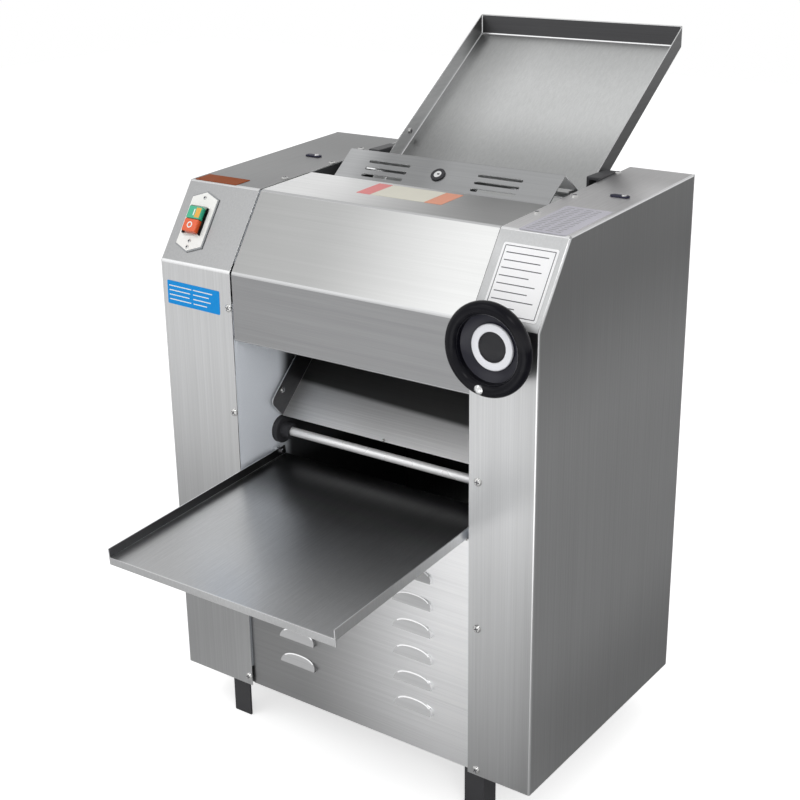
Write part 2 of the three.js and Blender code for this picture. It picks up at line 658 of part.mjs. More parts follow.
function addSidePlates() {
  const left = sidePlate(LEFT_PLATE_OUTSIDE, INNER_LEFT, LEFT_PLATE_OUTSIDE, -1, LEFT_SCREW_X);
  addPiece(press, 'left_side_plate', plateSteel, cut(
    left,
    bearingHole(REAR_ROLLER_Y, COUNTERSHAFT_HEIGHT, COUNTERSHAFT_HOUSING_DIAMETER, LEFT_PLATE_OUTSIDE, INNER_LEFT),
    bearingHole(MOTOR_Y, MOTOR_HEIGHT, MOTOR_SHAFT_DIAMETER + 2 * SLOT_CLEARANCE, LEFT_PLATE_OUTSIDE, INNER_LEFT)));
  addPiece(press, 'right_side_plate', plateSteel,
    sidePlate(INNER_RIGHT, RIGHT_PLATE_OUTSIDE, RIGHT_PLATE_OUTSIDE, 1, WHEEL_X));
}

// Stand: two angle rails across, four angle legs nested inside their corners, a motor plate

function addStand() {
  const half = CASING_WIDTH / 2 - STAND_INSET;
  const thick = ANGLE_THICKNESS;
  const rail = (face, into) => join(
    box(-half, half, Math.min(face, face + into * thick), Math.max(face, face + into * thick), 0, ANGLE_SIZE),
    box(-half, half, Math.min(face, face + into * ANGLE_SIZE), Math.max(face, face + into * ANGLE_SIZE),
      ANGLE_SIZE - thick, ANGLE_SIZE));
  const rearFace = CASING_REAR - STAND_SETBACK;
  addPiece(press, 'front_rail', blackPaint, rail(STAND_SETBACK, 1));
  addPiece(press, 'rear_rail', blackPaint, rail(rearFace, -1));
  const legTop = ANGLE_SIZE - thick - GAP;
  for (const [end, face, into] of [['front', STAND_SETBACK, 1], ['rear', rearFace, -1]]) {
    for (const [side, out] of [['left', -1], ['right', 1]]) {
      const near = face + into * (thick + GAP);
      const x = out * half;
      const flange = box(Math.min(x, x - out * ANGLE_SIZE), Math.max(x, x - out * ANGLE_SIZE),
        Math.min(near, near + into * thick), Math.max(near, near + into * thick), -LEG_HEIGHT, legTop);
      const web = box(Math.min(x, x - out * thick), Math.max(x, x - out * thick),
        Math.min(near, near + into * ANGLE_SIZE), Math.max(near, near + into * ANGLE_SIZE), -LEG_HEIGHT, legTop);
      addPiece(press, `${end}_${side}_leg`, blackPaint, join(flange, web));
    }
  }
  addPiece(press, 'motor_plate', blackPaint, box(
    INNER_LEFT + MOTOR_PLATE_SIDE_CLEARANCE, INNER_RIGHT - MOTOR_PLATE_SIDE_CLEARANCE,
    STAND_SETBACK, rearFace, ANGLE_SIZE + GAP, MOTOR_PLATE_TOP));
}

// Lower front panel with its two columns of hooded louvres

function louvreOutline(width, height) {
  const half = width / 2;
  const shoulder = height * LOUVRE_SHOULDER_SHARE;
  const crown = half * LOUVRE_CROWN_SHARE;
  const shape = new THREE.Shape();
  shape.moveTo(-half, 0);
  shape.lineTo(half, 0);
  shape.bezierCurveTo(half, shoulder, crown, height, 0, height);
  shape.bezierCurveTo(-crown, height, -half, shoulder, -half, 0);
  return shape;
}

// A hood that leans out from the panel: widest at its open lower edge, flush at its crown
function louvreBody(width, height, depth) {
  const body = alongY(louvreOutline(width, height), -depth, OVERRUN + SHEET);
  const lean = alongX([
    new THREE.Vector2(SHEET, height + OVERRUN), new THREE.Vector2(OVERRUN + SHEET, -OVERRUN),
    new THREE.Vector2(-depth, -OVERRUN), new THREE.Vector2(-depth, 0),
    new THREE.Vector2(0, height),
  ].reverse(), -width, width);
  return geometryOf(solidOf(body).intersect(solidOf(lean)));
}

function addLowerPanel() {
  const tilt = THREE.MathUtils.degToRad(TRAY_SLOPE);
  const below = (TRAY_WALL / 2 + SHEET) / Math.cos(tilt);
  const top = TRAY_HINGE_HEIGHT - below - (TRAY_HINGE_Y - PANEL_RECESS) * Math.tan(tilt) - GAP;
  const bottom = PANEL_GROUND_CLEARANCE;
  const inside = PANEL_RECESS + PANEL_FLANGE;
  const path = [
    [STAND_SETBACK - GAP, bottom], [PANEL_RECESS, bottom], [PANEL_RECESS, top], [inside, top],
  ];
  const sheet = alongX(folded(path, SHEET), INNER_LEFT + GAP, INNER_RIGHT - GAP);
  const hoods = [];
  const openings = [];
  const columnOffset = (INNER_RIGHT - INNER_LEFT) * LOUVRE_COLUMN_SHARE;
  for (let row = 0; row < LOUVRE_ROWS; row += 1) {
    for (const side of [-1, 1]) {
      const x = OPENING_MIDDLE + side * columnOffset;
      const z = TRAY_HINGE_HEIGHT * (LOUVRE_FIRST_SHARE + row * LOUVRE_PITCH_SHARE) - LOUVRE_HEIGHT / 2;
      hoods.push(louvreBody(LOUVRE_WIDTH, LOUVRE_HEIGHT, LOUVRE_DEPTH).translate(x, PANEL_RECESS, z));
      openings.push(louvreBody(LOUVRE_WIDTH - 2 * SHEET, LOUVRE_HEIGHT - SHEET, LOUVRE_DEPTH - SHEET)
        .translate(x, PANEL_RECESS, z - GAP));
    }
  }
  const trimmed = hoods.map((hood) => cut(hood, box(
    LEFT_FACE, RIGHT_FACE, PANEL_RECESS + SHEET, PANEL_RECESS + SHEET + 2 * OVERRUN, 0, UPPER_KNEE_HEIGHT)));
  addPiece(press, 'lower_front_panel', stainless, cut(join(sheet, ...trimmed), ...openings));
}

// Rollers: a chamfered drum with a journal at each end

function rollerGeometry(leftEnd, rightEnd) {
  const drum = ROLLER_DIAMETER / 2;
  const journal = JOURNAL_DIAMETER / 2;
  return turned([
    [0, leftEnd], [journal, leftEnd], [journal, ROLLER_LEFT], [drum - ROLLER_CHAMFER, ROLLER_LEFT],
    [drum, ROLLER_LEFT + ROLLER_CHAMFER], [drum, ROLLER_RIGHT - ROLLER_CHAMFER],
    [drum - ROLLER_CHAMFER, ROLLER_RIGHT], [journal, ROLLER_RIGHT], [journal, rightEnd], [0, rightEnd],
  ], FINE_SEGMENTS);
}

// A spur gear about X: straight-flanked teeth from the root circle to the tip circle
function gearGeometry(teeth, rootRadius, tipRadius, rootShare, tipShare, bore, x0, x1, phase) {
  const pitch = 2 * Math.PI / teeth;
  const points = [];
  for (let tooth = 0; tooth < teeth; tooth += 1) {
    for (const [radius, share] of [
      [rootRadius, -rootShare], [tipRadius, -tipShare], [tipRadius, tipShare], [rootRadius, rootShare],
    ]) {
      const angle = (tooth + phase + share) * pitch;
      points.push(new THREE.Vector2(radius * Math.cos(angle), radius * Math.sin(angle)));
    }
  }
  const shape = new THREE.Shape(points);
  if (bore > 0) {
    const hole = new THREE.Path();
    hole.absarc(0, 0, bore / 2 + GAP, 0, 2 * Math.PI);
    shape.holes.push(hole);
  }
  return alongX(shape, x0, x1, ROUND_SEGMENTS);
}

function meshGear() {
  const outer = LEFT_PLATE_OUTSIDE - MESH_GEAR_OUTSET;
  const pitchRadius = ROLLER_SPACING / 2;
  return gearGeometry(MESH_TEETH, pitchRadius - MESH_TOOTH_INSIDE_PITCH, pitchRadius + MESH_TOOTH_OUTSIDE_PITCH,
    MESH_ROOT_SHARE, MESH_TIP_SHARE, JOURNAL_DIAMETER, outer - MESH_GEAR_WIDTH, outer, 0);
}

function finalGear(teeth, bore, phase, x0, x1) {
  const pitchRadius = teeth * FINAL_MODULE / 2;
  return gearGeometry(teeth, pitchRadius - DEDENDUM_SHARE * FINAL_MODULE,
    pitchRadius + ADDENDUM_SHARE * FINAL_MODULE, FINAL_ROOT_SHARE, FINAL_TIP_SHARE, bore, x0, x1, phase);
}

function addRearRoller() {
  const group = addGroup(0, REAR_ROLLER_Y, ROLLER_HEIGHT);
  const gearOuter = LEFT_PLATE_OUTSIDE - FINAL_GEAR_OUTSET;
  const leftEnd = gearOuter - FINAL_GEAR_WIDTH - OVERRUN;
  const rightEnd = RIGHT_PLATE_OUTSIDE + BEARING_FLANGE - OVERRUN;
  addPiece(group, 'rear_roller', polishedSteel, rollerGeometry(leftEnd, rightEnd));
  addPiece(group, 'rear_roller_gear', gearSteel, meshGear());
  addPiece(group, 'final_drive_gear', gearSteel,
    finalGear(FINAL_GEAR_TEETH, JOURNAL_DIAMETER, 0, gearOuter - FINAL_GEAR_WIDTH, gearOuter));
}

function addFrontRoller() {
  const group = addGroup(0, FRONT_ROLLER_Y, ROLLER_HEIGHT);
  const leftEnd = LEFT_PLATE_OUTSIDE - MESH_GEAR_OUTSET - MESH_GEAR_WIDTH - OVERRUN;
  addPiece(group, 'front_roller', polishedSteel, rollerGeometry(leftEnd, rightJournalEnd()));
  addPiece(group, 'front_roller_gear', gearSteel, meshGear());
}

function rightJournalEnd() {
  return RIGHT_PLATE_OUTSIDE + JOURNAL_DIAMETER;
}

// Rear bearings: a spigot in the plate's bore and a flange outside it

function flangedBearing(outside, inside, out, spigot, bore, length, tube) {
  const start = outside + out * GAP;
  const end = start + out * BEARING_FLANGE;
  const far = start + out * length;
  const radii = { bore: bore / 2 + GAP, spigot: spigot / 2, flange: BEARING_FLANGE_DIAMETER / 2, tube: tube / 2 };
  return turned([
    [radii.bore, inside], [radii.spigot, inside], [radii.spigot, start], [radii.flange, start],
    [radii.flange, end], [radii.tube, end], [radii.tube, far], [radii.bore, far], [radii.bore, inside],
  ]);
}

function addBearings() {
  const spigot = BEARING_SPIGOT_DIAMETER;
  const cap = BEARING_FLANGE + OVERRUN;
  addPiece(press, 'rear_left_bearing', castIron,
    flangedBearing(LEFT_PLATE_OUTSIDE, INNER_LEFT, -1, spigot, JOURNAL_DIAMETER, cap, spigot),
    0, REAR_ROLLER_Y, ROLLER_HEIGHT);
  addPiece(press, 'rear_right_bearing', castIron,
    flangedBearing(RIGHT_PLATE_OUTSIDE, INNER_RIGHT, 1, spigot, JOURNAL_DIAMETER, cap, spigot),
    0, REAR_ROLLER_Y, ROLLER_HEIGHT);
  addPiece(press, 'countershaft_bearing', castIron,
    flangedBearing(LEFT_PLATE_OUTSIDE, INNER_LEFT, -1, COUNTERSHAFT_HOUSING_DIAMETER, COUNTERSHAFT_DIAMETER,
      COUNTERSHAFT_HOUSING, COUNTERSHAFT_HOUSING_DIAMETER),
    0, REAR_ROLLER_Y, COUNTERSHAFT_HEIGHT);
}

// Sliding blocks of the front roller: each nose takes an adjusting screw

function bearingBlock(x0, x1, boreX0, boreX1, screwX) {
  const half = BLOCK_HEIGHT / 2;
  const body = box(x0, x1, -BLOCK_NOSE, BLOCK_TAIL, -half, half);
  const bore = rod(JOURNAL_DIAMETER + 2 * GAP, boreX0, boreX1, ROUND_SEGMENTS);
  const threadHole = ontoY(rod(SCREW_THREAD_DIAMETER + 2 * GAP, -BLOCK_NOSE - OVERRUN, SCREW_HOLE_DEPTH - BLOCK_NOSE))
    .translate(screwX, 0, 0);
  return cut(body, bore, threadHole);
}

function addBlocks() {
  const leftInner = LEFT_PLATE_OUTSIDE - GAP;
  const leftOuter = leftInner - LEFT_BLOCK_WIDTH;
  addPiece(press, 'left_bearing_block', castIron,
    bearingBlock(leftOuter, leftInner, leftOuter - OVERRUN, leftInner + OVERRUN, LEFT_SCREW_X),
    0, FRONT_ROLLER_Y, ROLLER_HEIGHT);
  const rightInner = RIGHT_PLATE_OUTSIDE + GAP;
  const boreEnd = rightJournalEnd() + BLOCK_WALL;
  addPiece(press, 'right_bearing_block', castIron,
    bearingBlock(rightInner, rightInner + RIGHT_BLOCK_WIDTH, rightInner - OVERRUN, boreEnd, WHEEL_X),
    0, FRONT_ROLLER_Y, ROLLER_HEIGHT);
}

// Adjusting screws: held endways in their brackets, threaded into the blocks

function screwGeometry(front) {
  const shaft = SCREW_SHAFT_DIAMETER / 2;
  const neck = SCREW_NECK_DIAMETER / 2;
  const collar = SCREW_COLLAR_DIAMETER / 2;
  const thread = SCREW_THREAD_DIAMETER / 2;
  const hub = SPROCKET_HUB_DIAMETER / 2;
  const disc = SPROCKET_DIAMETER / 2;
  const bracketRear = BRACKET_FRONT + BRACKET_THICKNESS;
  const tip = FRONT_ROLLER_Y - BLOCK_NOSE + SCREW_ENGAGEMENT;
  const hubFront = CHAIN_PLANE_Y - SPROCKET_HUB / 2;
  const discFront = CHAIN_PLANE_Y - SPROCKET_THICKNESS / 2;
  const discRear = CHAIN_PLANE_Y + SPROCKET_THICKNESS / 2;
  return ontoY(turned([
    [0, front], [shaft, front], [shaft, hubFront], [hub, hubFront], [hub, discFront], [disc, discFront],
    [disc, discRear], [hub, discRear], [hub, BRACKET_FRONT - SCREW_COLLAR],
    [collar, BRACKET_FRONT - SCREW_COLLAR], [collar, BRACKET_FRONT - GAP], [neck, BRACKET_FRONT - GAP],
    [neck, bracketRear + GAP], [collar, bracketRear + GAP], [collar, bracketRear + SCREW_COLLAR],
    [thread, bracketRear + SCREW_COLLAR], [thread, tip], [0, tip],
  ]));
}

function addScrews() {
  const hubFront = WHEEL_DISH_Y + WHEEL_WEB;
  const rightGroup = addGroup(WHEEL_X, 0, ROLLER_HEIGHT);
  addPiece(rightGroup, 'right_adjusting_screw', polishedSteel, screwGeometry(hubFront));
  const leftGroup = addGroup(LEFT_SCREW_X, 0, ROLLER_HEIGHT);
  const leftFront = CHAIN_PLANE_Y - SPROCKET_HUB / 2 - OVERRUN;
  addPiece(leftGroup, 'left_adjusting_screw', polishedSteel, screwGeometry(leftFront));
  addHandwheel(rightGroup);
  const radius = SPROCKET_DIAMETER / 2 + GAP;
  const loop = band(new THREE.Vector2(LEFT_SCREW_X, ROLLER_HEIGHT), radius,
    new THREE.Vector2(WHEEL_X, ROLLER_HEIGHT), radius, CHAIN_THICKNESS, SMALL_SEGMENTS);
  addPiece(press, 'sync_chain', gearSteel,
    alongY(loop, CHAIN_PLANE_Y - CHAIN_WIDTH / 2, CHAIN_PLANE_Y + CHAIN_WIDTH / 2));
}

// Handwheel: a round rim on a dished web, with a white ring and a cap set in its face

function addHandwheel(group) {
  const tube = WHEEL_RIM_THICKNESS / 2;
  const rimCentre = WHEEL_RIM_CENTRE_DIAMETER / 2;
  const bore = SCREW_SHAFT_DIAMETER / 2 + GAP;
  const rim = new THREE.TorusGeometry(rimCentre, tube, SMALL_SEGMENTS, FINE_SEGMENTS)
    .rotateX(Math.PI / 2).translate(0, WHEEL_PLANE_Y, 0);
  const dish = WHEEL_DISH_DIAMETER / 2;
  const web = ontoY(turned([
    [bore, WHEEL_DISH_Y], [dish, WHEEL_DISH_Y], [rimCentre, WHEEL_PLANE_Y],
    [rimCentre, WHEEL_PLANE_Y + WHEEL_WEB], [dish, WHEEL_DISH_Y + WHEEL_WEB],
    [bore, WHEEL_DISH_Y + WHEEL_WEB], [bore, WHEEL_DISH_Y],
  ], FINE_SEGMENTS));
  const hub = ontoY(turned(
    ringProfile(bore, WHEEL_HUB_DIAMETER / 2, WHEEL_DISH_Y, -WHEEL_HUB_CLEARANCE), FINE_SEGMENTS));
  addPiece(group, 'handwheel', bakelite, join(rim, web, hub));
  const seat = WHEEL_DISH_Y - GAP;
  addPiece(group, 'handwheel_ring', whitePlastic, ontoY(turned(ringProfile(
    WHEEL_RING_INNER_DIAMETER / 2, WHEEL_RING_OUTER_DIAMETER / 2, seat - WHEEL_RING_THICKNESS, seat), FINE_SEGMENTS)));
  const capRadius = WHEEL_RING_INNER_DIAMETER / 2 - GAP;
  addPiece(group, 'handwheel_cap', bakelite, ontoY(turned([
    [0, seat - WHEEL_CAP_DEPTH], [capRadius * WHEEL_CAP_FACE_SHARE, seat - WHEEL_CAP_DEPTH],
    [capRadius, seat - WHEEL_CAP_DEPTH / 2], [capRadius, seat], [0, seat],
  ])));
}

// Countershaft with its pinion, the pulleys and the belt

function pulleyGeometry(diameter, bore, x0, x1) {
  const rim = diameter / 2;
  const floor = rim - PULLEY_GROOVE_DEPTH;
  const hub = Math.min(GEAR_HUB_DIAMETER / 2, floor - OVERRUN);
  const web = (x0 + x1) / 2;
  const inner = floor - PULLEY_WEB;
  const grooved = [
    [rim, x0], [rim, x0 + PULLEY_FLANGE], [floor, x0 + PULLEY_FLANGE], [floor, x1 - PULLEY_FLANGE],
    [rim, x1 - PULLEY_FLANGE], [rim, x1],
  ];
  const hole = bore / 2 + GAP;
  if (inner <= hub) return turned([[hole, x0], ...grooved, [hole, x1], [hole, x0]], FINE_SEGMENTS);
  return turned([
    [hole, x0], [hub, x0], [hub, web - PULLEY_WEB / 2], [inner, web - PULLEY_WEB / 2], [inner, x0],
    ...grooved, [inner, x1], [inner, web + PULLEY_WEB / 2], [hub, web + PULLEY_WEB / 2], [hub, x1],
    [hole, x1], [hole, x0],
  ], FINE_SEGMENTS);
}

function addDrive() {
  const pulleyInner = LEFT_PLATE_OUTSIDE - PULLEY_OUTSET;
  const pulleyOuter = pulleyInner - PULLEY_WIDTH;
  const gearOuter = LEFT_PLATE_OUTSIDE - FINAL_GEAR_OUTSET;
  const group = addGroup(0, REAR_ROLLER_Y, COUNTERSHAFT_HEIGHT);
  const shaft = rod(COUNTERSHAFT_DIAMETER, pulleyOuter - SHAFT_END, INNER_LEFT - OVERRUN);
  const pinion = finalGear(PINION_TEETH, 0, 1 / 2, gearOuter - FINAL_GEAR_WIDTH, gearOuter);
  addPiece(group, 'countershaft', gearSteel, join(shaft, pinion));
  addPiece(group, 'driven_pulley', castIron,
    pulleyGeometry(DRIVEN_PULLEY_DIAMETER, COUNTERSHAFT_DIAMETER, pulleyOuter, pulleyInner));
  const motorGroup = addGroup(0, MOTOR_Y, MOTOR_HEIGHT);
  addPiece(motorGroup, 'motor_shaft', polishedSteel,
    rod(MOTOR_SHAFT_DIAMETER, pulleyOuter - SHAFT_END, MOTOR_LEFT + MOTOR_SHAFT_SEAT));
  addPiece(motorGroup, 'motor_pulley', castIron,
    pulleyGeometry(MOTOR_PULLEY_DIAMETER, MOTOR_SHAFT_DIAMETER, pulleyOuter, pulleyInner));
  const inGroove = PULLEY_GROOVE_DEPTH - GAP;
  const belt = band(
    new THREE.Vector2(REAR_ROLLER_Y, COUNTERSHAFT_HEIGHT), DRIVEN_PULLEY_DIAMETER / 2 - inGroove,
    new THREE.Vector2(MOTOR_Y, MOTOR_HEIGHT), MOTOR_PULLEY_DIAMETER / 2 - inGroove, inGroove, FINE_SEGMENTS);
  addPiece(press, 'drive_belt', beltRubber,
    alongX(belt, pulleyOuter + PULLEY_FLANGE + GAP, pulleyInner - PULLEY_FLANGE - GAP));
}

// Motor: a round body with end shields, a foot plate and a terminal box

function addMotor() {
  const radius = MOTOR_DIAMETER / 2;
  const shield = MOTOR_SHIELD_DIAMETER / 2;
  const right = MOTOR_LEFT + MOTOR_LENGTH;
  const middle = (MOTOR_LEFT + right) / 2;
  const body = turned([
    [0, MOTOR_LEFT], [shield, MOTOR_LEFT], [shield, MOTOR_LEFT + MOTOR_SHIELD], [radius, MOTOR_LEFT + MOTOR_SHIELD],
    [radius, right - MOTOR_SHIELD], [shield, right - MOTOR_SHIELD], [shield, right], [0, right],
  ]);
  const foot = box(middle - MOTOR_FOOT_LENGTH / 2, middle + MOTOR_FOOT_LENGTH / 2,
    -MOTOR_FOOT_WIDTH / 2, MOTOR_FOOT_WIDTH / 2, -MOTOR_CENTRE_HEIGHT, -MOTOR_CENTRE_HEIGHT + MOTOR_FOOT);
  const neck = box(middle - MOTOR_FOOT_LENGTH / 2, middle + MOTOR_FOOT_LENGTH / 2,
    -MOTOR_NECK_WIDTH / 2, MOTOR_NECK_WIDTH / 2, -MOTOR_CENTRE_HEIGHT, 0);
  const terminals = box(middle - MOTOR_BOX / 2, middle + MOTOR_BOX / 2,
    -MOTOR_BOX / 2, MOTOR_BOX / 2, 0, radius + MOTOR_BOX / 2);
  const seat = rod(MOTOR_SHAFT_DIAMETER + 2 * GAP, MOTOR_LEFT - OVERRUN, MOTOR_LEFT + MOTOR_SHAFT_SEAT + OVERRUN);
  addPiece(press, 'motor', castIron, cut(join(body, foot, neck, terminals), seat), 0, MOTOR_Y, MOTOR_HEIGHT);
}

// Finger guard: an inverted V of slotted sheet on a hinge rod along its lower rear edge

const guardAngle = THREE.MathUtils.degToRad(GUARD_SLOPE_ANGLE);
const guardFront = {
  y: GUARD_RIDGE_Y - GUARD_FRONT_LENGTH * Math.cos(guardAngle),
  z: GUARD_RIDGE_HEIGHT - GUARD_FRONT_LENGTH * Math.sin(guardAngle),
};
const guardRear = {
  y: GUARD_RIDGE_Y + GUARD_REAR_LENGTH * Math.cos(guardAngle),
  z: GUARD_RIDGE_HEIGHT - GUARD_REAR_LENGTH * Math.sin(guardAngle),
};
const guardHinge = { y: guardRear.y - GUARD_ROD_DIAMETER, z: guardRear.z - GUARD_ROD_DROP };

// Puts a shape drawn on the front slope at a distance down from the ridge
function onGuardFront(geometry, downSlope, x = OPENING_MIDDLE) {
  return geometry.rotateX(guardAngle).translate(
    x,
    GUARD_RIDGE_Y - downSlope * Math.cos(guardAngle),
    GUARD_RIDGE_HEIGHT - downSlope * Math.sin(guardAngle));
}

function addGuard() {
  const left = INNER_LEFT + GUARD_SIDE_CLEARANCE;
  const right = INNER_RIGHT - GUARD_SIDE_CLEARANCE;
  const path = [
    [guardFront.y, guardFront.z], [GUARD_RIDGE_Y, GUARD_RIDGE_HEIGHT], [guardRear.y, guardRear.z],
  ];
  const sheet = alongX(folded(path, SHEET), left, right);
  const ear = (x0, x1) => box(x0, x1, guardHinge.y - GUARD_EAR / 2, guardHinge.y + GUARD_EAR / 2,
    guardHinge.z - GUARD_EAR / 2, guardRear.z);
  const bore = rod(GUARD_ROD_DIAMETER + 2 * GAP, left - OVERRUN, right + OVERRUN)
    .translate(0, guardHinge.y, guardHinge.z);
  const slots = [];
  const slotLength = (right - left) * GUARD_SLOT_LENGTH_SHARE;
  const slotOffset = (right - left) * GUARD_SLOT_OFFSET_SHARE;
  for (const side of [-1, 1]) {
    for (let row = 0; row < GUARD_SLOT_ROWS; row += 1) {
      const slot = alongZ(longHole(slotLength, GUARD_SLOT_WIDTH), -OVERRUN - SHEET, OVERRUN);
      slots.push(onGuardFront(slot, GUARD_FIRST_SLOT + row * GUARD_SLOT_PITCH,
        OPENING_MIDDLE + GUARD_SLOT_SHIFT + side * slotOffset));
    }
  }
  const lockHole = onGuardFront(rod(LOCK_BARREL_DIAMETER + 2 * GAP, -OVERRUN - SHEET, OVERRUN)
    .rotateY(-Math.PI / 2), LOCK_FROM_RIDGE, OPENING_MIDDLE + LOCK_OFFSET);
  const ears = join(sheet, ear(left, left + 2 * SHEET), ear(right - 2 * SHEET, right));
  addPiece(press, 'finger_guard', stainless, cut(ears, bore, lockHole, ...slots));
  addPiece(press, 'guard_hinge_rod', polishedSteel,
    rod(GUARD_ROD_DIAMETER, INNER_LEFT + GAP, INNER_RIGHT - GAP), 0, guardHinge.y, guardHinge.z);
  addLock();
  addTieBar();
}

function addLock() {
  const head = rod(LOCK_HEAD_DIAMETER, GAP, LOCK_HEAD).rotateY(-Math.PI / 2);
  const barrel = rod(LOCK_BARREL_DIAMETER, -SHEET - LOCK_BARREL, LOCK_HEAD / 2).rotateY(-Math.PI / 2);
  const tongueTop = -SHEET - LOCK_BARREL + LOCK_TONGUE;
  const tongue = box(-LOCK_TONGUE_WIDTH / 2, LOCK_TONGUE_LENGTH, -LOCK_TONGUE_WIDTH / 2, LOCK_TONGUE_WIDTH / 2,
    tongueTop - LOCK_TONGUE, tongueTop);
  addPiece(press, 'guard_lock', polishedSteel,
    onGuardFront(join(head, barrel, tongue), LOCK_FROM_RIDGE, OPENING_MIDDLE + LOCK_OFFSET));
}

function addTieBar() {
  const top = guardFront.z - SHEET * Math.cos(guardAngle) - GAP;
  const rear = guardFront.y + SHEET * Math.sin(guardAngle) + OVERRUN;
  addPiece(press, 'upper_tie_bar', plateSteel, box(
    INNER_LEFT + GAP, INNER_RIGHT - GAP, rear - TIE_BAR_DEPTH, rear, top - TIE_BAR_HEIGHT, top));
}

// Feed tray: a sloping pan with two side walls and an upright end wall, between two black brackets

function addFeedTray() {
  const tilt = THREE.MathUtils.degToRad(FEED_TRAY_ANGLE);
  const group = addGroup(OPENING_MIDDLE, FEED_TRAY_REFERENCE_Y,
    UPPER_KNEE_HEIGHT - FEED_TRAY_REFERENCE_DROP, tilt);
  const half = FEED_TRAY_HALF_WIDTH;
  const lower = -FEED_TRAY_LOWER_REACH;
  const upper = lower + FEED_TRAY_LENGTH;
  const lean = (FEED_TRAY_WALL + SHEET) * Math.tan(tilt);
  const floor = box(-half, half, lower, upper, -SHEET, 0);
  const wallOutline = [
    new THREE.Vector2(lower, -SHEET), new THREE.Vector2(upper, -SHEET),
    new THREE.Vector2(upper + lean, FEED_TRAY_WALL), new THREE.Vector2(lower, FEED_TRAY_WALL),
  ];
  const wall = (x0) => alongX(wallOutline, x0, x0 + SHEET);
  const endWall = alongX([
    new THREE.Vector2(upper - SHEET, -SHEET), new THREE.Vector2(upper, -SHEET),
    new THREE.Vector2(upper + lean, FEED_TRAY_WALL),
    new THREE.Vector2(upper + lean - SHEET, FEED_TRAY_WALL),
  ], -half, half);
  addPiece(group, 'feed_tray', stainless, join(floor, wall(-half), wall(half - SHEET), endWall));
  addFeedBrackets();
}

function feedBracket(plateX, out) {
  const trayX = OPENING_MIDDLE + out * (FEED_TRAY_HALF_WIDTH + GAP);
  const wallX = plateX - out * GAP;
  const top = casingTop(FEED_BRACKET_Y) + FEED_BRACKET_ABOVE_TOP;
  const y0 = FEED_BRACKET_Y - FEED_BRACKET_LENGTH / 2;
  const strip = (start, end, z0, z1) => {
    return box(Math.min(start, end), Math.max(start, end), y0, y0 + FEED_BRACKET_LENGTH, z0, z1);
  };
  return join(
    strip(trayX, trayX + out * FEED_BRACKET_SHEET, top - FEED_BRACKET_LEG, top),
    strip(trayX, wallX, top - FEED_BRACKET_SHEET, top),
    strip(wallX - out * FEED_BRACKET_SHEET, wallX, top - FEED_BRACKET_SKIRT, top));
}

function addFeedBrackets() {
  addPiece(press, 'left_feed_bracket', blackPaint, feedBracket(INNER_LEFT, -1));
  addPiece(press, 'right_feed_bracket', blackPaint, feedBracket(INNER_RIGHT, 1));
}

// Receiving tray: a shallow pan that hangs on two pins and rests on the lower panel's top flange

function addReceivingTray() {
  const tilt = THREE.MathUtils.degToRad(TRAY_SLOPE);
  const group = addGroup(0, TRAY_HINGE_Y, TRAY_HINGE_HEIGHT, tilt);
  const floorTop = -TRAY_WALL / 2;
  const section = folded([
    [TRAY_RIGHT_X, floorTop + TRAY_WALL], [TRAY_RIGHT_X, floorTop - SHEET],
    [TRAY_LEFT_X, floorTop - SHEET], [TRAY_LEFT_X, floorTop + TRAY_WALL],
  ], SHEET);
  const pan = alongY(section, -TRAY_LENGTH, TRAY_REAR_OVERLAP);
  const flange = box(TRAY_LEFT_X, TRAY_RIGHT_X, -TRAY_LENGTH, -TRAY_LENGTH + SHEET,
    floorTop - TRAY_FRONT_FLANGE, floorTop);
  const pinHole = rod(TRAY_PIN_DIAMETER + 2 * GAP, TRAY_LEFT_X - OVERRUN, TRAY_RIGHT_X + OVERRUN);
  addPiece(group, 'receiving_tray', stainless, cut(join(pan, flange), pinHole));
  const leftEnd = TRAY_LEFT_X + SHEET + TRAY_PIN_END;
  const rightEnd = TRAY_RIGHT_X - SHEET - TRAY_PIN_END;
  addPiece(press, 'left_tray_pin', polishedSteel,
    rod(TRAY_PIN_DIAMETER, INNER_LEFT + GAP, leftEnd), 0, TRAY_HINGE_Y, TRAY_HINGE_HEIGHT);
  addPiece(press, 'right_tray_pin', polishedSteel,
    rod(TRAY_PIN_DIAMETER, rightEnd, INNER_RIGHT - GAP), 0, TRAY_HINGE_Y, TRAY_HINGE_HEIGHT);
}

// Guide roller above the tray, turning in two flanged nylon bushes

function bush(wall, out) {
  const seat = wall - out * GAP;
  const flange = seat - out * BUSH_FLANGE;
  const end = seat - out * BUSH_LENGTH;
  const floor = seat - out * BUSH_FLOOR;
  const bore = GUIDE_ROLLER_DIAMETER / 2 + GAP;
  return turned([
    [0, seat], [BUSH_FLANGE_DIAMETER / 2, seat], [BUSH_FLANGE_DIAMETER / 2, flange],
    [BUSH_BOSS_DIAMETER / 2, flange], [BUSH_BOSS_DIAMETER / 2, end], [bore, end], [bore, floor], [0, floor],
  ]);
}

function addGuideRoller() {
  const place = [0, GUIDE_ROLLER_Y, GUIDE_ROLLER_HEIGHT];
  addPiece(press, 'left_guide_bush', blackNylon, bush(INNER_LEFT, -1), ...place);
  addPiece(press, 'right_guide_bush', blackNylon, bush(INNER_RIGHT, 1), ...place);
  const inBush = GAP + BUSH_FLOOR + GAP;
  addPiece(press, 'guide_roller', polishedSteel,
    rod(GUIDE_ROLLER_DIAMETER, INNER_LEFT + inBush, INNER_RIGHT - inBush), ...place);
}

// Discharge chute under the rollers, and the two scraper blades

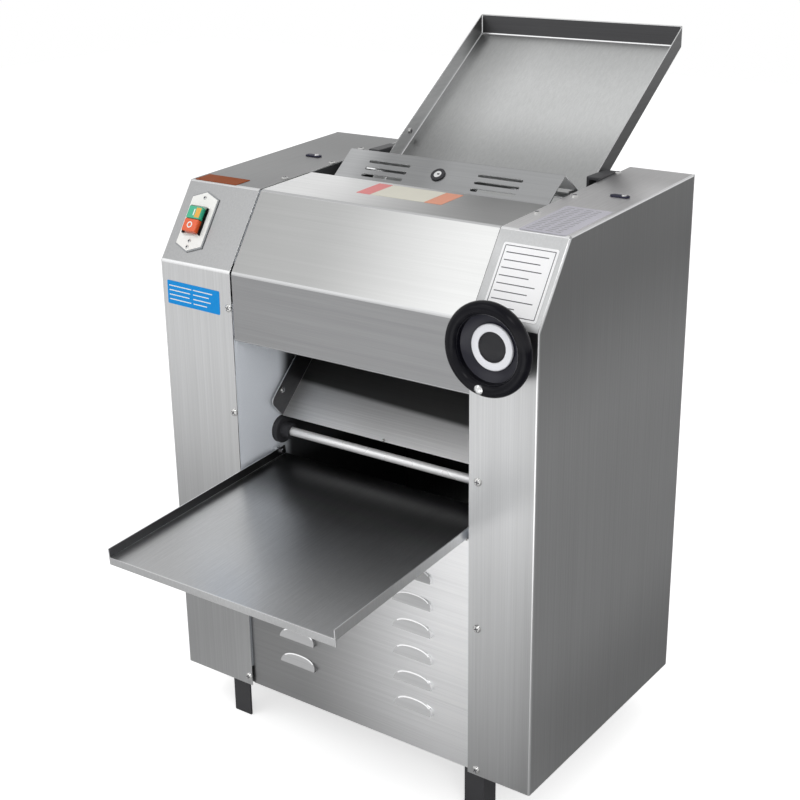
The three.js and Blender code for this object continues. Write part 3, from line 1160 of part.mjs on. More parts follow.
function addChute() {
  const tilt = THREE.MathUtils.degToRad(CHUTE_ANGLE);
  const group = addGroup(0, CHUTE_LOWER_Y, TRAY_HINGE_HEIGHT + CHUTE_ABOVE_HINGE, tilt);
  const left = INNER_LEFT + CHUTE_SIDE_CLEARANCE;
  const right = INNER_RIGHT - CHUTE_SIDE_CLEARANCE;
  const plate = box(left, right, 0, CHUTE_LENGTH, -SHEET, 0);
  const wall = (x0) => box(x0, x0 + SHEET, 0, CHUTE_FLANGE_LENGTH, -SHEET, CHUTE_FLANGE);
  const middle = CHUTE_FLANGE_LENGTH / 2;
  const boss = (x0, x1) => rod(CHUTE_BOSS_DIAMETER, x0, x1).translate(0, middle, CHUTE_FLANGE / 2);
  addPiece(group, 'discharge_chute', stainless, join(
    plate, wall(left), wall(right - SHEET),
    boss(INNER_LEFT + GAP, left + SHEET / 2), boss(right - SHEET / 2, INNER_RIGHT - GAP)));
}

function scraperGeometry(out) {
  const reach = ROLLER_DIAMETER / 2 + SCRAPER_CLEARANCE;
  const angle = THREE.MathUtils.degToRad(SCRAPER_ANGLE);
  const tip = new THREE.Vector2(0, -reach);
  const down = new THREE.Vector2(out * Math.cos(angle), -Math.sin(angle));
  const side = new THREE.Vector2(-down.y, down.x).multiplyScalar(out * SCRAPER_THICKNESS);
  const foot = tip.clone().addScaledVector(down, SCRAPER_LENGTH);
  const points = [tip, foot, foot.clone().sub(side), tip.clone().sub(side)];
  const outline = THREE.ShapeUtils.area(points) < 0 ? points.reverse() : points;
  const bar = box(INNER_LEFT + GAP, INNER_RIGHT - GAP, foot.x - SCRAPER_BAR / 2, foot.x + SCRAPER_BAR / 2,
    foot.y - SCRAPER_BAR, foot.y);
  return join(alongX(outline, ROLLER_LEFT, ROLLER_RIGHT), bar);
}

function addScrapers() {
  addPiece(press, 'front_scraper', plateSteel, scraperGeometry(-1), 0, FRONT_ROLLER_Y, ROLLER_HEIGHT);
  addPiece(press, 'rear_scraper', plateSteel, scraperGeometry(1), 0, REAR_ROLLER_Y, ROLLER_HEIGHT);
}

// Switch: a six-sided plate, a box through it and two spring buttons

function addSwitch() {
  const half = SWITCH_PLATE_WIDTH / 2;
  const side = SWITCH_PLATE_SIDE_HEIGHT / 2;
  const end = SWITCH_PLATE_HEIGHT / 2;
  const outline = new THREE.Shape([
    [half, -side], [half, side], [0, end], [-half, side], [-half, -side], [0, -end],
  ].map(([x, y]) => new THREE.Vector2(x, y)));
  const boxX = SWITCH_BOX_WIDTH / 2;
  const boxY = SWITCH_BOX_HEIGHT / 2;
  const clear = box(-boxX - GAP, boxX + GAP, -boxY - GAP, boxY + GAP, -OVERRUN, SWITCH_BOX_RISE);
  const plate = cut(alongZ(outline, GAP, GAP + SWITCH_PLATE_THICKNESS), clear);
  addPiece(press, 'switch_plate', whitePlastic, switchPlace(plate));
  const shell = box(-boxX, boxX, -boxY, boxY, -SWITCH_BOX_DEPTH, SWITCH_BOX_RISE);
  const wellX = boxX - SWITCH_BOX_WALL;
  const wellY = boxY - SWITCH_BOX_WALL;
  const well = box(-wellX, wellX, -wellY, wellY, -SWITCH_BOX_DEPTH / 2, SWITCH_BOX_RISE + OVERRUN);
  addPiece(press, 'switch_box', whitePlastic, switchPlace(cut(shell, well)));
  const buttonX = wellX - BUTTON_CLEARANCE;
  const top = SWITCH_BOX_RISE + BUTTON_PROUD;
  const floor = -SWITCH_BOX_DEPTH / 2 + BUTTON_TRAVEL + BUTTON_CLEARANCE;
  const button = (y0, y1) => switchPlace(box(-buttonX, buttonX, y0, y1, floor, top));
  addPiece(press, 'start_button', greenPlastic, button(BUTTON_CLEARANCE / 2, wellY - BUTTON_CLEARANCE));
  addPiece(press, 'stop_button', redPlastic, button(-wellY + BUTTON_CLEARANCE, -BUTTON_CLEARANCE / 2));
}

// Oil ports: oval plugs in the column tops above the roller bearings

function addOilPorts() {
  const plug = (x) => {
    const rim = alongZ(longHole(OIL_PORT_LENGTH + 2 * OIL_PORT_RIM, OIL_PORT_WIDTH + 2 * OIL_PORT_RIM),
      GAP, GAP + OIL_PORT_RIM);
    const body = alongZ(longHole(OIL_PORT_LENGTH - 2 * GAP, OIL_PORT_WIDTH - 2 * GAP), -OIL_PORT_DEPTH,
      GAP + OIL_PORT_RIM / 2);
    return join(rim, body).rotateX(topAngle).translate(x, OIL_PORT_Y, casingTop(OIL_PORT_Y));
  };
  addPiece(press, 'left_oil_plug', blackNylon, plug(LEFT_OIL_PORT_X));
  addPiece(press, 'right_oil_plug', blackNylon, plug(RIGHT_OIL_PORT_X));
}

addCasings();
addRearPanel();
addHood();
addSidePlates();
addStand();
addLowerPanel();
addRearRoller();
addFrontRoller();
addBearings();
addBlocks();
addScrews();
addDrive();
addMotor();
addGuard();
addFeedTray();
addReceivingTray();
addGuideRoller();
addChute();
addScrapers();
addSwitch();
addOilPorts();

// The origin goes under the middle of the press, on the floor
const bounds = new THREE.Box3().setFromObject(press, true);
const middle = bounds.getCenter(new THREE.Vector3());
press.position.set(-middle.x, -middle.y, -bounds.min.z);

export default press;
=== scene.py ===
"""Dresses the electric dough press: folded steel sheets, handwheel, switch, trays, plates and studio."""

import json
import logging
import math
from dataclasses import dataclass
from enum import Enum
from typing import Callable, Iterable, Sequence

import bmesh
import bpy
from bmesh.types import BMEdge, BMesh, BMFace, BMLoop, BMVert
from bpy.types import ID, Material, Node, NodeSocket, NodeTree, Object
from mathutils import Matrix, Vector


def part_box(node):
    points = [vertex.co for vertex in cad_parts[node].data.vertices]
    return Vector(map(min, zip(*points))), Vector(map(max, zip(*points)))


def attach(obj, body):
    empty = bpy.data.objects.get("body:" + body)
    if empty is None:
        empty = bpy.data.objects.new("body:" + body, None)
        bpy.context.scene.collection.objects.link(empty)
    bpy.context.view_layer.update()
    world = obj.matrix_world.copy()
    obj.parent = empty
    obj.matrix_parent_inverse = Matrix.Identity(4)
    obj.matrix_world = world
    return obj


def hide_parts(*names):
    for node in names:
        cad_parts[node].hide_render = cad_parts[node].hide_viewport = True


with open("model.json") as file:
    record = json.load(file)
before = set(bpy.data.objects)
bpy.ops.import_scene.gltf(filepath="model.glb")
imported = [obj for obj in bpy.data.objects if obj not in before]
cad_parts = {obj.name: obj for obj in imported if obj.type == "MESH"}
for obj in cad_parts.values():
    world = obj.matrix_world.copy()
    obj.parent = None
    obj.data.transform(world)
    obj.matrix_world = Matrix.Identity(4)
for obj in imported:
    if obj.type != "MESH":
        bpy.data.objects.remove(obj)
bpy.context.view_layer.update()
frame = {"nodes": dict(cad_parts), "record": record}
LOG = logging.getLogger("dough_press")
MM = 0.001
WHITE = (1, 1, 1, 1)
Colour = tuple[float, float, float]
Pair = tuple[float, float]
BODY_OF: dict[str, str] = {
    node: body for body, nodes in frame["record"]["behaviour"]["bodies"].items() for node in nodes
}


# Where things are on the press: millimetres from the casing's middle, front face and lower edge

CASING_HALF_WIDTH, CASING_DEPTH = 290, 385
SLOPE_FOOT, SLOPE_LEAN = (0, 608), 55.49
TOP_FOOT, TOP_LEAN = (66, 704), 2.51
OPENING_MIDDLE = 15
FEED_FOOT, FEED_LEAN, FEED_LEFT = (332, 691), 35, -147.5
GUARD_FOOT, GUARD_LEAN = (241, 731), 37.6
CHUTE_FOOT, CHUTE_LEAN, CHUTE_LEFT = (81, 389), 43, -158.5
WHEEL_CENTRE = (246, -36, 592)
CASING_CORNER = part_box("left_casing")[0]
CASING_ORIGIN = Vector((CASING_CORNER.x + CASING_HALF_WIDTH * MM, CASING_CORNER.y, CASING_CORNER.z))


def casing(x: float, y: float, z: float) -> Vector:
    """The place in the frame, in metres, of a point given in millimetres on the casing."""
    return CASING_ORIGIN + Vector((x, y, z)) * MM


@dataclass(frozen=True)
class Facet:
    """A flat face of the press on which screws, plates and labels sit."""

    origin: Vector
    across: Vector
    up: Vector

    @property
    def normal(self) -> Vector:
        """The direction away from the face."""
        return self.across.cross(self.up)

    def matrix(self, across: float, up: float, out: float = 0.0, turn_deg: float = 0.0) -> Matrix:
        """The transform of something drawn in millimetres, with Z away from the face.

        Args:
            across: Place along the face's width, mm.
            up: Place along the face's height, mm.
            out: Height above the face, mm.
            turn_deg: Turn about the face's normal.

        Returns:
            A matrix from millimetres on the face to metres in the frame.
        """
        basis = Matrix((self.across, self.up, self.normal)).transposed().to_4x4()
        place = Matrix.Translation(self.origin) @ basis @ Matrix.Scale(MM, 4)
        turn = Matrix.Rotation(math.radians(turn_deg), 4, "Z")
        return place @ Matrix.Translation((across, up, out)) @ turn


def leaning(origin: Vector, lean_deg: float, wall: bool = False) -> Facet:
    """A face that runs back and up from its lower edge, or the left wall that stands on such a face.

    Args:
        origin: A point on the lower edge.
        lean_deg: The face's angle to the level.
        wall: Whether the wall's inner face is wanted.

    Returns:
        The face, measured across and up the slope; a wall up the slope and away from its floor.
    """
    lean = math.radians(lean_deg)
    slope = Vector((0, math.cos(lean), math.sin(lean)))
    if wall:
        return Facet(origin, slope, Vector((0, -math.sin(lean), math.cos(lean))))
    return Facet(origin, Vector((1, 0, 0)), slope)


FRONT = leaning(casing(0, 0, 0), 90)
SLOPE = leaning(casing(0, *SLOPE_FOOT), SLOPE_LEAN)
TOP = leaning(casing(0, *TOP_FOOT), TOP_LEAN)
REAR = Facet(casing(0, CASING_DEPTH, 0), Vector((-1, 0, 0)), Vector((0, 0, 1)))
FEED_LEFT_WALL = leaning(casing(FEED_LEFT, *FEED_FOOT), FEED_LEAN, wall=True)
GUARD = leaning(casing(OPENING_MIDDLE, *GUARD_FOOT), GUARD_LEAN)
CHUTE = leaning(casing(0, *CHUTE_FOOT), CHUTE_LEAN)
CHUTE_LEFT_WALL = leaning(casing(CHUTE_LEFT, *CHUTE_FOOT), CHUTE_LEAN, wall=True)
WHEEL = Facet(casing(*WHEEL_CENTRE), Vector((1, 0, 0)), Vector((0, 0, 1)))


# Shaping with bmesh

def turned(profile: Sequence[Pair], closed: bool, steps: int = 72) -> BMesh:
    """Spins an outline about Z.

    Args:
        profile: Pairs of radius and height, mm. An open one starts and ends on the axis.
        closed: Whether the last point joins the first.
        steps: Steps round the circle.

    Returns:
        A closed mesh in millimetres.
    """
    mesh = bmesh.new()
    verts = [mesh.verts.new((radius, 0, height)) for radius, height in profile]
    pairs = list(zip(verts, verts[1:])) + ([(verts[-1], verts[0])] if closed else [])
    edges = [mesh.edges.new(pair) for pair in pairs]
    bmesh.ops.spin(
        mesh, geom=[*verts, *edges], cent=(0, 0, 0), axis=(0, 0, 1), dvec=(0, 0, 0),
        angle=math.tau, steps=steps, use_merge=True, use_duplicate=False)
    bmesh.ops.remove_doubles(mesh, verts=mesh.verts, dist=1e-4)
    bmesh.ops.recalc_face_normals(mesh, faces=mesh.faces)
    return mesh


def block(width: float, height: float, depth: float, centre: Sequence[float] = (0, 0, 0)) -> BMesh:
    """A rectangular block in millimetres.

    Args:
        width: Its size along X.
        height: Its size along Y.
        depth: Its size along Z.
        centre: Its middle.

    Returns:
        A closed mesh.
    """
    mesh = bmesh.new()
    bmesh.ops.create_cube(mesh, size=1.0)
    bmesh.ops.scale(mesh, verts=mesh.verts, vec=(width, height, depth))
    bmesh.ops.translate(mesh, verts=mesh.verts, vec=centre)
    return mesh


def lift(mesh: BMesh, extruded: dict[str, list], height: float) -> None:
    """Moves the vertices that an extrusion made by a height along Z."""
    verts = [item for item in extruded["geom"] if isinstance(item, BMVert)]
    bmesh.ops.translate(mesh, verts=verts, vec=(0, 0, height))


def prism(outline: Sequence[Pair], thickness: float, corner: float = 0.0, segments: int = 4) -> BMesh:
    """A flat plate with the given outline.

    Args:
        outline: Corner points, mm, anticlockwise.
        thickness: Height above the face it lies on, mm.
        corner: Radius of its corners, mm, or 0.
        segments: Steps in each corner.

    Returns:
        A closed mesh in millimetres, standing on z = 0.
    """
    mesh = bmesh.new()
    mesh.faces.new([mesh.verts.new((x, y, 0)) for x, y in outline])
    if corner > 0:
        bmesh.ops.bevel(
            mesh, geom=list(mesh.verts), offset=corner, offset_type="OFFSET", segments=segments,
            profile=0.5, affect="VERTICES", material=-1)
    lift(mesh, bmesh.ops.extrude_face_region(mesh, geom=list(mesh.faces)), thickness)
    bmesh.ops.recalc_face_normals(mesh, faces=mesh.faces)
    return mesh


def rectangle(width: float, height: float) -> list[Pair]:
    """The corners of a centred rectangle, mm, anticlockwise."""
    x, y = width / 2, height / 2
    return [(-x, -y), (x, -y), (x, y), (-x, y)]


def soften(mesh: BMesh, chosen: Callable[[BMEdge], bool], radius: float, segments: int = 3) -> None:
    """Rounds the edges that a test picks.

    Args:
        mesh: The mesh to change.
        chosen: The test for an edge.
        radius: How far the round reaches along each face, in the mesh's own unit.
        segments: Steps across the round.
    """
    edges = [edge for edge in mesh.edges if len(edge.link_faces) == 2 and chosen(edge)]
    if edges:
        bmesh.ops.bevel(
            mesh, geom=edges, offset=radius, offset_type="OFFSET", segments=segments, profile=0.5,
            affect="EDGES", clamp_overlap=False, material=-1)


def corner_edge(edge: BMEdge, least_deg: float = 40.0) -> bool:
    """Whether an edge is a real corner that turns outwards."""
    return edge.calc_face_angle(0.0) > math.radians(least_deg) and edge.is_convex


def rim_above(height: float) -> Callable[[BMEdge], bool]:
    """A test for the sharp corners that lie wholly above a height."""
    return lambda edge: corner_edge(edge, 60) and min(vert.co.z for vert in edge.verts) > height


def ring_at(radius: float, height: float, reach: float = 0.2) -> Callable[[BMEdge], bool]:
    """A test for the edges of one circle of a turned mesh, in millimetres."""
    return lambda edge: all(
        abs(math.hypot(vert.co.x, vert.co.y) - radius) < reach and abs(vert.co.z - height) < reach
        for vert in edge.verts)


def width_beside(loop: BMLoop) -> float:
    """How far a face reaches inwards from one of its edges, at its narrowest.

    Args:
        loop: The edge's corner in that face.

    Returns:
        The least of three distances to the face's far side, in the mesh's own unit.
    """
    start, end = loop.vert.co, loop.link_loop_next.vert.co
    along = (end - start).normalized()
    inward = loop.face.normal.cross(along)
    least = math.inf
    for share in (0.1, 0.5, 0.9):
        origin = start.lerp(end, share)
        for other in loop.face.edges:
            first, second = (vert.co - origin for vert in other.verts)
            before, after = first.dot(along), second.dot(along)
            if other is loop.edge or before * after > 0 or before == after:
                continue
            height = first.lerp(second, before / (before - after)).dot(inward)
            if height > 1e-6:
                least = min(least, height)
    return least


def placed(mesh: BMesh, matrix: Matrix) -> BMesh:
    """Moves a mesh by a matrix and hands it back."""
    bmesh.ops.transform(mesh, matrix=matrix, verts=mesh.verts)
    return mesh


def moved(mesh: BMesh, x: float, y: float, z: float) -> BMesh:
    """Shifts a mesh and hands it back."""
    return placed(mesh, Matrix.Translation((x, y, z)))


def painted(mesh: BMesh, index: int, chosen: Callable[[BMFace], bool] = lambda face: True) -> BMesh:
    """Gives faces of a mesh a material index.

    Args:
        mesh: The mesh.
        index: The material index.
        chosen: The test for a face; all pass if it is left out.

    Returns:
        The same mesh.
    """
    for face in filter(chosen, mesh.faces):
        face.material_index = index
    return mesh


def towards(direction: Vector, least: float = 0.97) -> Callable[[BMFace], bool]:
    """A test for the faces that look along a direction."""
    return lambda face: face.normal.dot(direction) > least


def off_axis(face: BMFace) -> float:
    """How far the middle of a turned mesh's face is from its axis."""
    return face.calc_center_median().to_2d().length


def gathered(*parts: BMesh) -> BMesh:
    """Joins meshes, which are freed.

    Args:
        *parts: The meshes.

    Returns:
        One mesh of them all.
    """
    whole = bmesh.new()
    for part in parts:
        carrier = bpy.data.meshes.new("carrier")
        part.to_mesh(carrier)
        part.free()
        whole.from_mesh(carrier)
        bpy.data.meshes.remove(carrier)
    return whole


def merged_copy(node: str, flat_deg: float = 0.8) -> BMesh:
    """A CAD node's mesh in metres, its triangles merged into whole faces.

    Args:
        node: The node's name.
        flat_deg: Faces that meet at less than this become one.

    Returns:
        A closed mesh in the frame.
    """
    mesh = bmesh.new()
    mesh.from_mesh(frame["nodes"][node].data)
    bmesh.ops.remove_doubles(mesh, verts=mesh.verts, dist=0.02 * MM)
    bmesh.ops.dissolve_limit(
        mesh, angle_limit=math.radians(flat_deg), verts=mesh.verts, edges=mesh.edges)
    return mesh


def edge_strips(mesh: BMesh, index: int, widest: float = 1.9 * MM, shortest: float = 5 * MM) -> None:
    """Gives the narrow faces of a sheet, its folds and cut edges, a material index of their own, for a
    painted highlight.

    Args:
        mesh: The sheet, in metres.
        index: The material index.
        widest: The widest such strip.
        shortest: The shortest such strip.
    """
    for face in mesh.faces:
        longest = max(edge.calc_length() for edge in face.edges)
        if longest > shortest and face.calc_area() / longest < widest:
            face.material_index = index


@dataclass(frozen=True)
class Folding:
    """How a folded sheet is finished: the radii of its bends and the break of its cut edges, mm."""

    outer: float = 2.4
    inner: float = 1.2
    rim: float = 0.28
    shortest_bend: float = 12.0
    least_bend_deg: float = 20.0
    least_flange: float = 3.6

    def sheet(self, node: str) -> BMesh:
        """A CAD node's merged mesh with its bends and edges rounded."""
        return self.apply(merged_copy(node))

    def apply(self, mesh: BMesh) -> BMesh:
        """Rounds the bends and edges of a merged sheet.

        Args:
            mesh: The sheet, in metres.

        Returns:
            The same mesh.
        """
        soften(mesh, lambda edge: self._bend(edge) and edge.is_convex, self.outer * MM, 5)
        soften(mesh, lambda edge: self._bend(edge) and not edge.is_convex, self.inner * MM, 3)
        if self.rim > 0:
            soften(mesh, lambda edge: corner_edge(edge, 50), self.rim * MM, 2)
        return mesh

    def _bend(self, edge: BMEdge) -> bool:
        """Whether both faces beside an edge are wide, so that it is a fold and not a cut edge."""
        turn = edge.calc_face_angle(0.0)
        if edge.calc_length() < self.shortest_bend * MM or turn < math.radians(self.least_bend_deg):
            return False
        return all(width_beside(loop) > self.least_flange * MM for loop in edge.link_loops)


# Node wiring and shared surface effects

class Wiring:
    """Adds and links the nodes of one tree."""

    def __init__(self, tree: NodeTree) -> None:
        """Takes the tree to wire."""
        self.tree = tree

    @classmethod
    def of(cls, owner: Material | bpy.types.World) -> "Wiring":
        """Empties the node tree of a new material or world and takes it."""
        owner.use_nodes = True
        owner.node_tree.nodes.clear()
        return cls(owner.node_tree)

    def add(
            self, kind: str, *inputs: object, settings: dict[str, object] | None = None,
            **named: object) -> Node:
        """Adds a node.

        Args:
            kind: The node's type without its ShaderNode prefix.
            *inputs: Values, sockets or nodes for its first inputs, in their order.
            settings: Values of the node's own properties.
            **named: Values, sockets or nodes for inputs by name, with _ for a space.

        Returns:
            The new node.
        """
        node = self.tree.nodes.new(kind if kind.startswith("Node") else f"ShaderNode{kind}")
        for name, value in (settings or {}).items():
            setattr(node, name, value)
        for socket, value in zip(node.inputs, inputs):
            self.feed(socket, value)
        for name, value in named.items():
            self.feed(node.inputs[name.replace("_", " ")], value)
        return node

    def feed(self, socket: NodeSocket, value: object) -> None:
        """Links a socket, or sets its value.

        Args:
            socket: The input.
            value: A socket, a node whose first output is meant, or a plain value.
        """
        if isinstance(value, Node):
            value = value.outputs[0]
        if isinstance(value, NodeSocket):
            self.tree.links.new(value, socket)
        else:
            socket.default_value = value

    def math(self, operation: str, first: object, second: object) -> NodeSocket:
        """The result of an operation on two values."""
        return self.add("Math", first, second, settings={"operation": operation}).outputs[0]

    def dot(self, first: object, second: object) -> NodeSocket:
        """How far one vector reaches along another."""
        return self.add("VectorMath", first, second, settings={"operation": "DOT_PRODUCT"}).outputs["Value"]

    def noise(self, vector: object, scale: object, detail: float, roughness: float) -> NodeSocket:
        """A cloudy pattern from 0 to 1."""
        node = self.add("TexNoise", Vector=vector, Scale=scale, Detail=detail, Roughness=roughness)
        return node.outputs[0]

    def blend(self, mask: object, first: object, second: object) -> NodeSocket:
        """A colour between two.

        Args:
            mask: The share of the second, which changes over the surface.
            first: The first colour.
            second: The second colour.

        Returns:
            The blended colour.
        """
        node = self.add("Mix", settings={"data_type": "RGBA"})
        for socket, value in ((0, mask), (6, first), (7, second)):
            self.feed(node.inputs[socket], value)
        return node.outputs[2]

    def spread(
            self, value: object, low: object, high: object, start: object = 0.0, end: object = 1.0,
            smooth: bool = False) -> NodeSocket:
        """Maps a value from one span to another, held at its ends.

        Args:
            value: The value.
            low: The result at the start of its span.
            high: The result at the end of its span.
            start: The start of its span.
            end: The end of its span.
            smooth: Whether the change sets in and ends softly.

        Returns:
            The mapped value.
        """
        kind = "SMOOTHSTEP" if smooth else "LINEAR"
        return self.add(
            "MapRange", settings={"interpolation_type": kind}, Value=value, From_Min=start, From_Max=end,
            To_Min=low, To_Max=high).outputs["Result"]


@dataclass(frozen=True)
class Effect:
    """A shader node group that several finishes share."""

    name: str
    inputs: tuple[tuple[str, float], ...]
    outputs: tuple[str, ...]
    wire: Callable[[Wiring, Node, Node], None]

    def tree(self) -> NodeTree:
        """Builds the group, or finds it built.

        Returns:
            The group's tree.
        """
        found = bpy.data.node_groups.get(self.name)
        if found:
            return found
        tree = bpy.data.node_groups.new(self.name, "ShaderNodeTree")
        tree.interface.new_socket(name="Vector", in_out="INPUT", socket_type="NodeSocketVector")
        for label, value in self.inputs:
            socket = tree.interface.new_socket(name=label, in_out="INPUT", socket_type="NodeSocketFloat")
            socket.default_value = value
        for label in self.outputs:
            tree.interface.new_socket(name=label, in_out="OUTPUT", socket_type="NodeSocketFloat")
        wiring = Wiring(tree)
        self.wire(wiring, wiring.add("NodeGroupInput"), wiring.add("NodeGroupOutput"))
        return tree

    def use(self, wiring: Wiring, vector: object, **values: float) -> Node:
        """Places the group in a material, with the coordinates it reads and its other inputs."""
        return wiring.add("Group", settings={"node_tree": self.tree()}, Vector=vector, **values)


def _wire_grain(wiring: Wiring, given: Node, out: Node) -> None:
    """Wires brushed lines: fine ones for height, broader ones for shade.

    Args:
        wiring: The group's wiring.
        given: The node with its inputs.
        out: The node with its outputs.
    """
    fine = wiring.noise(given, 1.0, 3.0, 0.65)
    stretched = wiring.add("Mapping", Vector=given, Scale=(0.3, 0.3, 0.12), Location=(3.1, 1.7, 0.4))
    broad = wiring.spread(wiring.noise(stretched, 1.0, 4.0, 0.6), 0.6, 1.4, 0.3, 0.7)
    both = wiring.math("MULTIPLY", fine, broad)
    wiring.feed(out.inputs["Shade"], wiring.spread(both, 0.0, 1.0, 0.25, 0.75))
    wiring.feed(out.inputs["Height"], fine)


def _wire_marks(wiring: Wiring, given: Node, out: Node) -> None:
    """Wires soft patches left by hands, flour and wiping.

    Args:
        wiring: The group's wiring.
        given: The node with its inputs.
        out: The node with its outputs.
    """
    size = given.outputs["Size"]
    wiped = wiring.add("Mapping", Vector=given, Scale=(1.0, 0.35, 2.2), Rotation=(0.0, 0.5, 0.3))
    both = wiring.math("ADD", wiring.noise(given, size, 2.0, 0.5), wiring.noise(wiped, size, 2.0, 0.5))
    wiring.feed(out.inputs["Mask"], wiring.spread(both, 0.0, 1.0, 0.7, 1.35, smooth=True))


def _wire_grit(wiring: Wiring, given: Node, out: Node) -> None:
    """Wires a fine even roughness: orange peel, cast skin or powder paint."""
    wiring.feed(out.inputs["Height"], wiring.noise(given, given.outputs["Size"], 2.0, 0.6))


def _wire_painted_light(wiring: Wiring, given: Node, out: Node) -> None:
    """Wires a slow change of level along a direction, which is painted light and shade.

    Args:
        wiring: The group's wiring.
        given: The node with its inputs.
        out: The node with its outputs.
    """
    across, deep, up, start, end, first, last = (given.outputs[label] for label, _ in PAINTED_LIGHT.inputs)
    along = wiring.dot(given, wiring.add("CombineXYZ", across, deep, up))
    wiring.feed(out.inputs["Level"], wiring.spread(along, first, last, start, end, smooth=True))


GRAIN = Effect("brush_grain", (), ("Shade", "Height"), _wire_grain)
MARKS = Effect("handling_marks", (("Size", 5.0),), ("Mask",), _wire_marks)
GRIT = Effect("fine_grit", (("Size", 900.0),), ("Height",), _wire_grit)
# Painted light and shade: a slow change of level along a direction
PAINTED_LIGHT = Effect(
    "painted_light_ramp", (
        ("Across", 0.0), ("Deep", 0.0), ("Up", 0.0), ("Start", 0.0), ("End", 1.0), ("First", 1.0),
        ("Last", 1.0)),
    ("Level",), _wire_painted_light)


class Grain(Enum):
    """The way a sheet was brushed, as the pattern's scale along each axis."""

    ACROSS = (7.0, 1500.0, 1500.0)
    DEEP = (1500.0, 7.0, 1500.0)
    UPRIGHT = (1500.0, 1500.0, 7.0)
    ROUND = (600.0, 600.0, 600.0)


def shade(tone: Colour, factor: float) -> tuple[float, float, float, float]:
    """A colour made lighter or darker, with full alpha."""
    return (*(min(1.0, part * factor) for part in tone), 1.0)


@dataclass(frozen=True)
class PaintedLight:
    """Painted light and shade: brightness that changes slowly from a first to a last place on the press, in
    casing millimetres.
    """

    first: float
    last: float
    x: Pair = (0, 0)
    y: Pair = (0, 0)
    z: Pair = (0, 0)

    def level(self, wiring: Wiring, coords: NodeSocket) -> NodeSocket:
        """The level of painted light at each point of a surface.

        Args:
            wiring: The material's wiring.
            coords: Its Object coordinates.

        Returns:
            The level, between the first and the last.
        """
        near, far = (casing(*place) for place in zip(self.x, self.y, self.z))
        axis = (far - near).normalized()
        return PAINTED_LIGHT.use(
            wiring, coords, Across=axis.x, Deep=axis.y, Up=axis.z, Start=near.dot(axis), End=far.dot(axis),
            First=self.first, Last=self.last).outputs["Level"]


def with_painted_light(wiring: Wiring, coords: NodeSocket, colour: NodeSocket, painted_light: Sequence[PaintedLight]) -> NodeSocket:
    """A colour with painted light and shade, slow changes of brightness, laid over it.

    Args:
        wiring: The material's wiring.
        coords: Its Object coordinates.
        colour: The colour to change.
        painted_light: The changes, each of which scales what the others leave.

    Returns:
        The changed colour.
    """
    for light_ramp in painted_light:
        level = light_ramp.level(wiring, coords)
        colour = wiring.add("VectorMath", colour, settings={"operation": "SCALE"}, Scale=level).outputs[0]
    return colour


@dataclass(frozen=True)
class Finish:
    """A surface finish, whose material is built when it is first asked for."""

    name: str

    def material(self) -> Material:
        """The finished material: a Principled shader on Object coordinates.

        Returns:
            The material, built once.
        """
        found = bpy.data.materials.get(self.name)
        if found:
            return found
        material = bpy.data.materials.new(self.name)
        wiring = Wiring.of(material)
        shader = wiring.add("BsdfPrincipled")
        wiring.add("OutputMaterial", shader)
        self._wire(wiring, shader.inputs, wiring.add("TexCoord").outputs["Object"])
        return material

    def _wire(self, wiring: Wiring, surface: bpy.types.NodeInputs, coords: NodeSocket) -> None:
        """Wires what makes the finish its own."""
        raise NotImplementedError


@dataclass(frozen=True)
class BrushedSteel(Finish):
    """Brushed, ground or polished steel."""

    tone: Colour = (0.62, 0.625, 0.63)
    roughness: float = 0.3
    grain: Grain = Grain.UPRIGHT
    contrast: float = 0.07
    depth: float = 0.05
    # painted light and shade: slow changes of brightness laid over the tone
    painted_light: tuple[PaintedLight, ...] = ()
    marks: float = 0.02
    marks_size: float = 4.0
    bump: float = 0.0002

    def _wire(self, wiring: Wiring, surface: bpy.types.NodeInputs, coords: NodeSocket) -> None:
        """Wires the steel.

        Args:
            wiring: The material's wiring.
            surface: The shader's inputs.
            coords: Object coordinates.
        """
        lines = GRAIN.use(wiring, wiring.add("Mapping", Vector=coords, Scale=self.grain.value))
        marks = MARKS.use(wiring, coords, Size=self.marks_size)
        dark, light = shade(self.tone, 1 - self.contrast), shade(self.tone, 1 + self.contrast)
        streaked = wiring.blend(lines.outputs["Shade"], dark, light)
        low, high = self.roughness - self.marks, self.roughness + self.marks
        wiring.feed(surface["Base Color"], with_painted_light(wiring, coords, streaked, self.painted_light))
        wiring.feed(surface["Roughness"], wiring.spread(marks, low, high))
        wiring.feed(surface["Metallic"], 1.0)
        wiring.feed(surface["Normal"], wiring.add(
            "Bump", Height=lines.outputs["Height"], Strength=self.depth, Distance=self.bump))


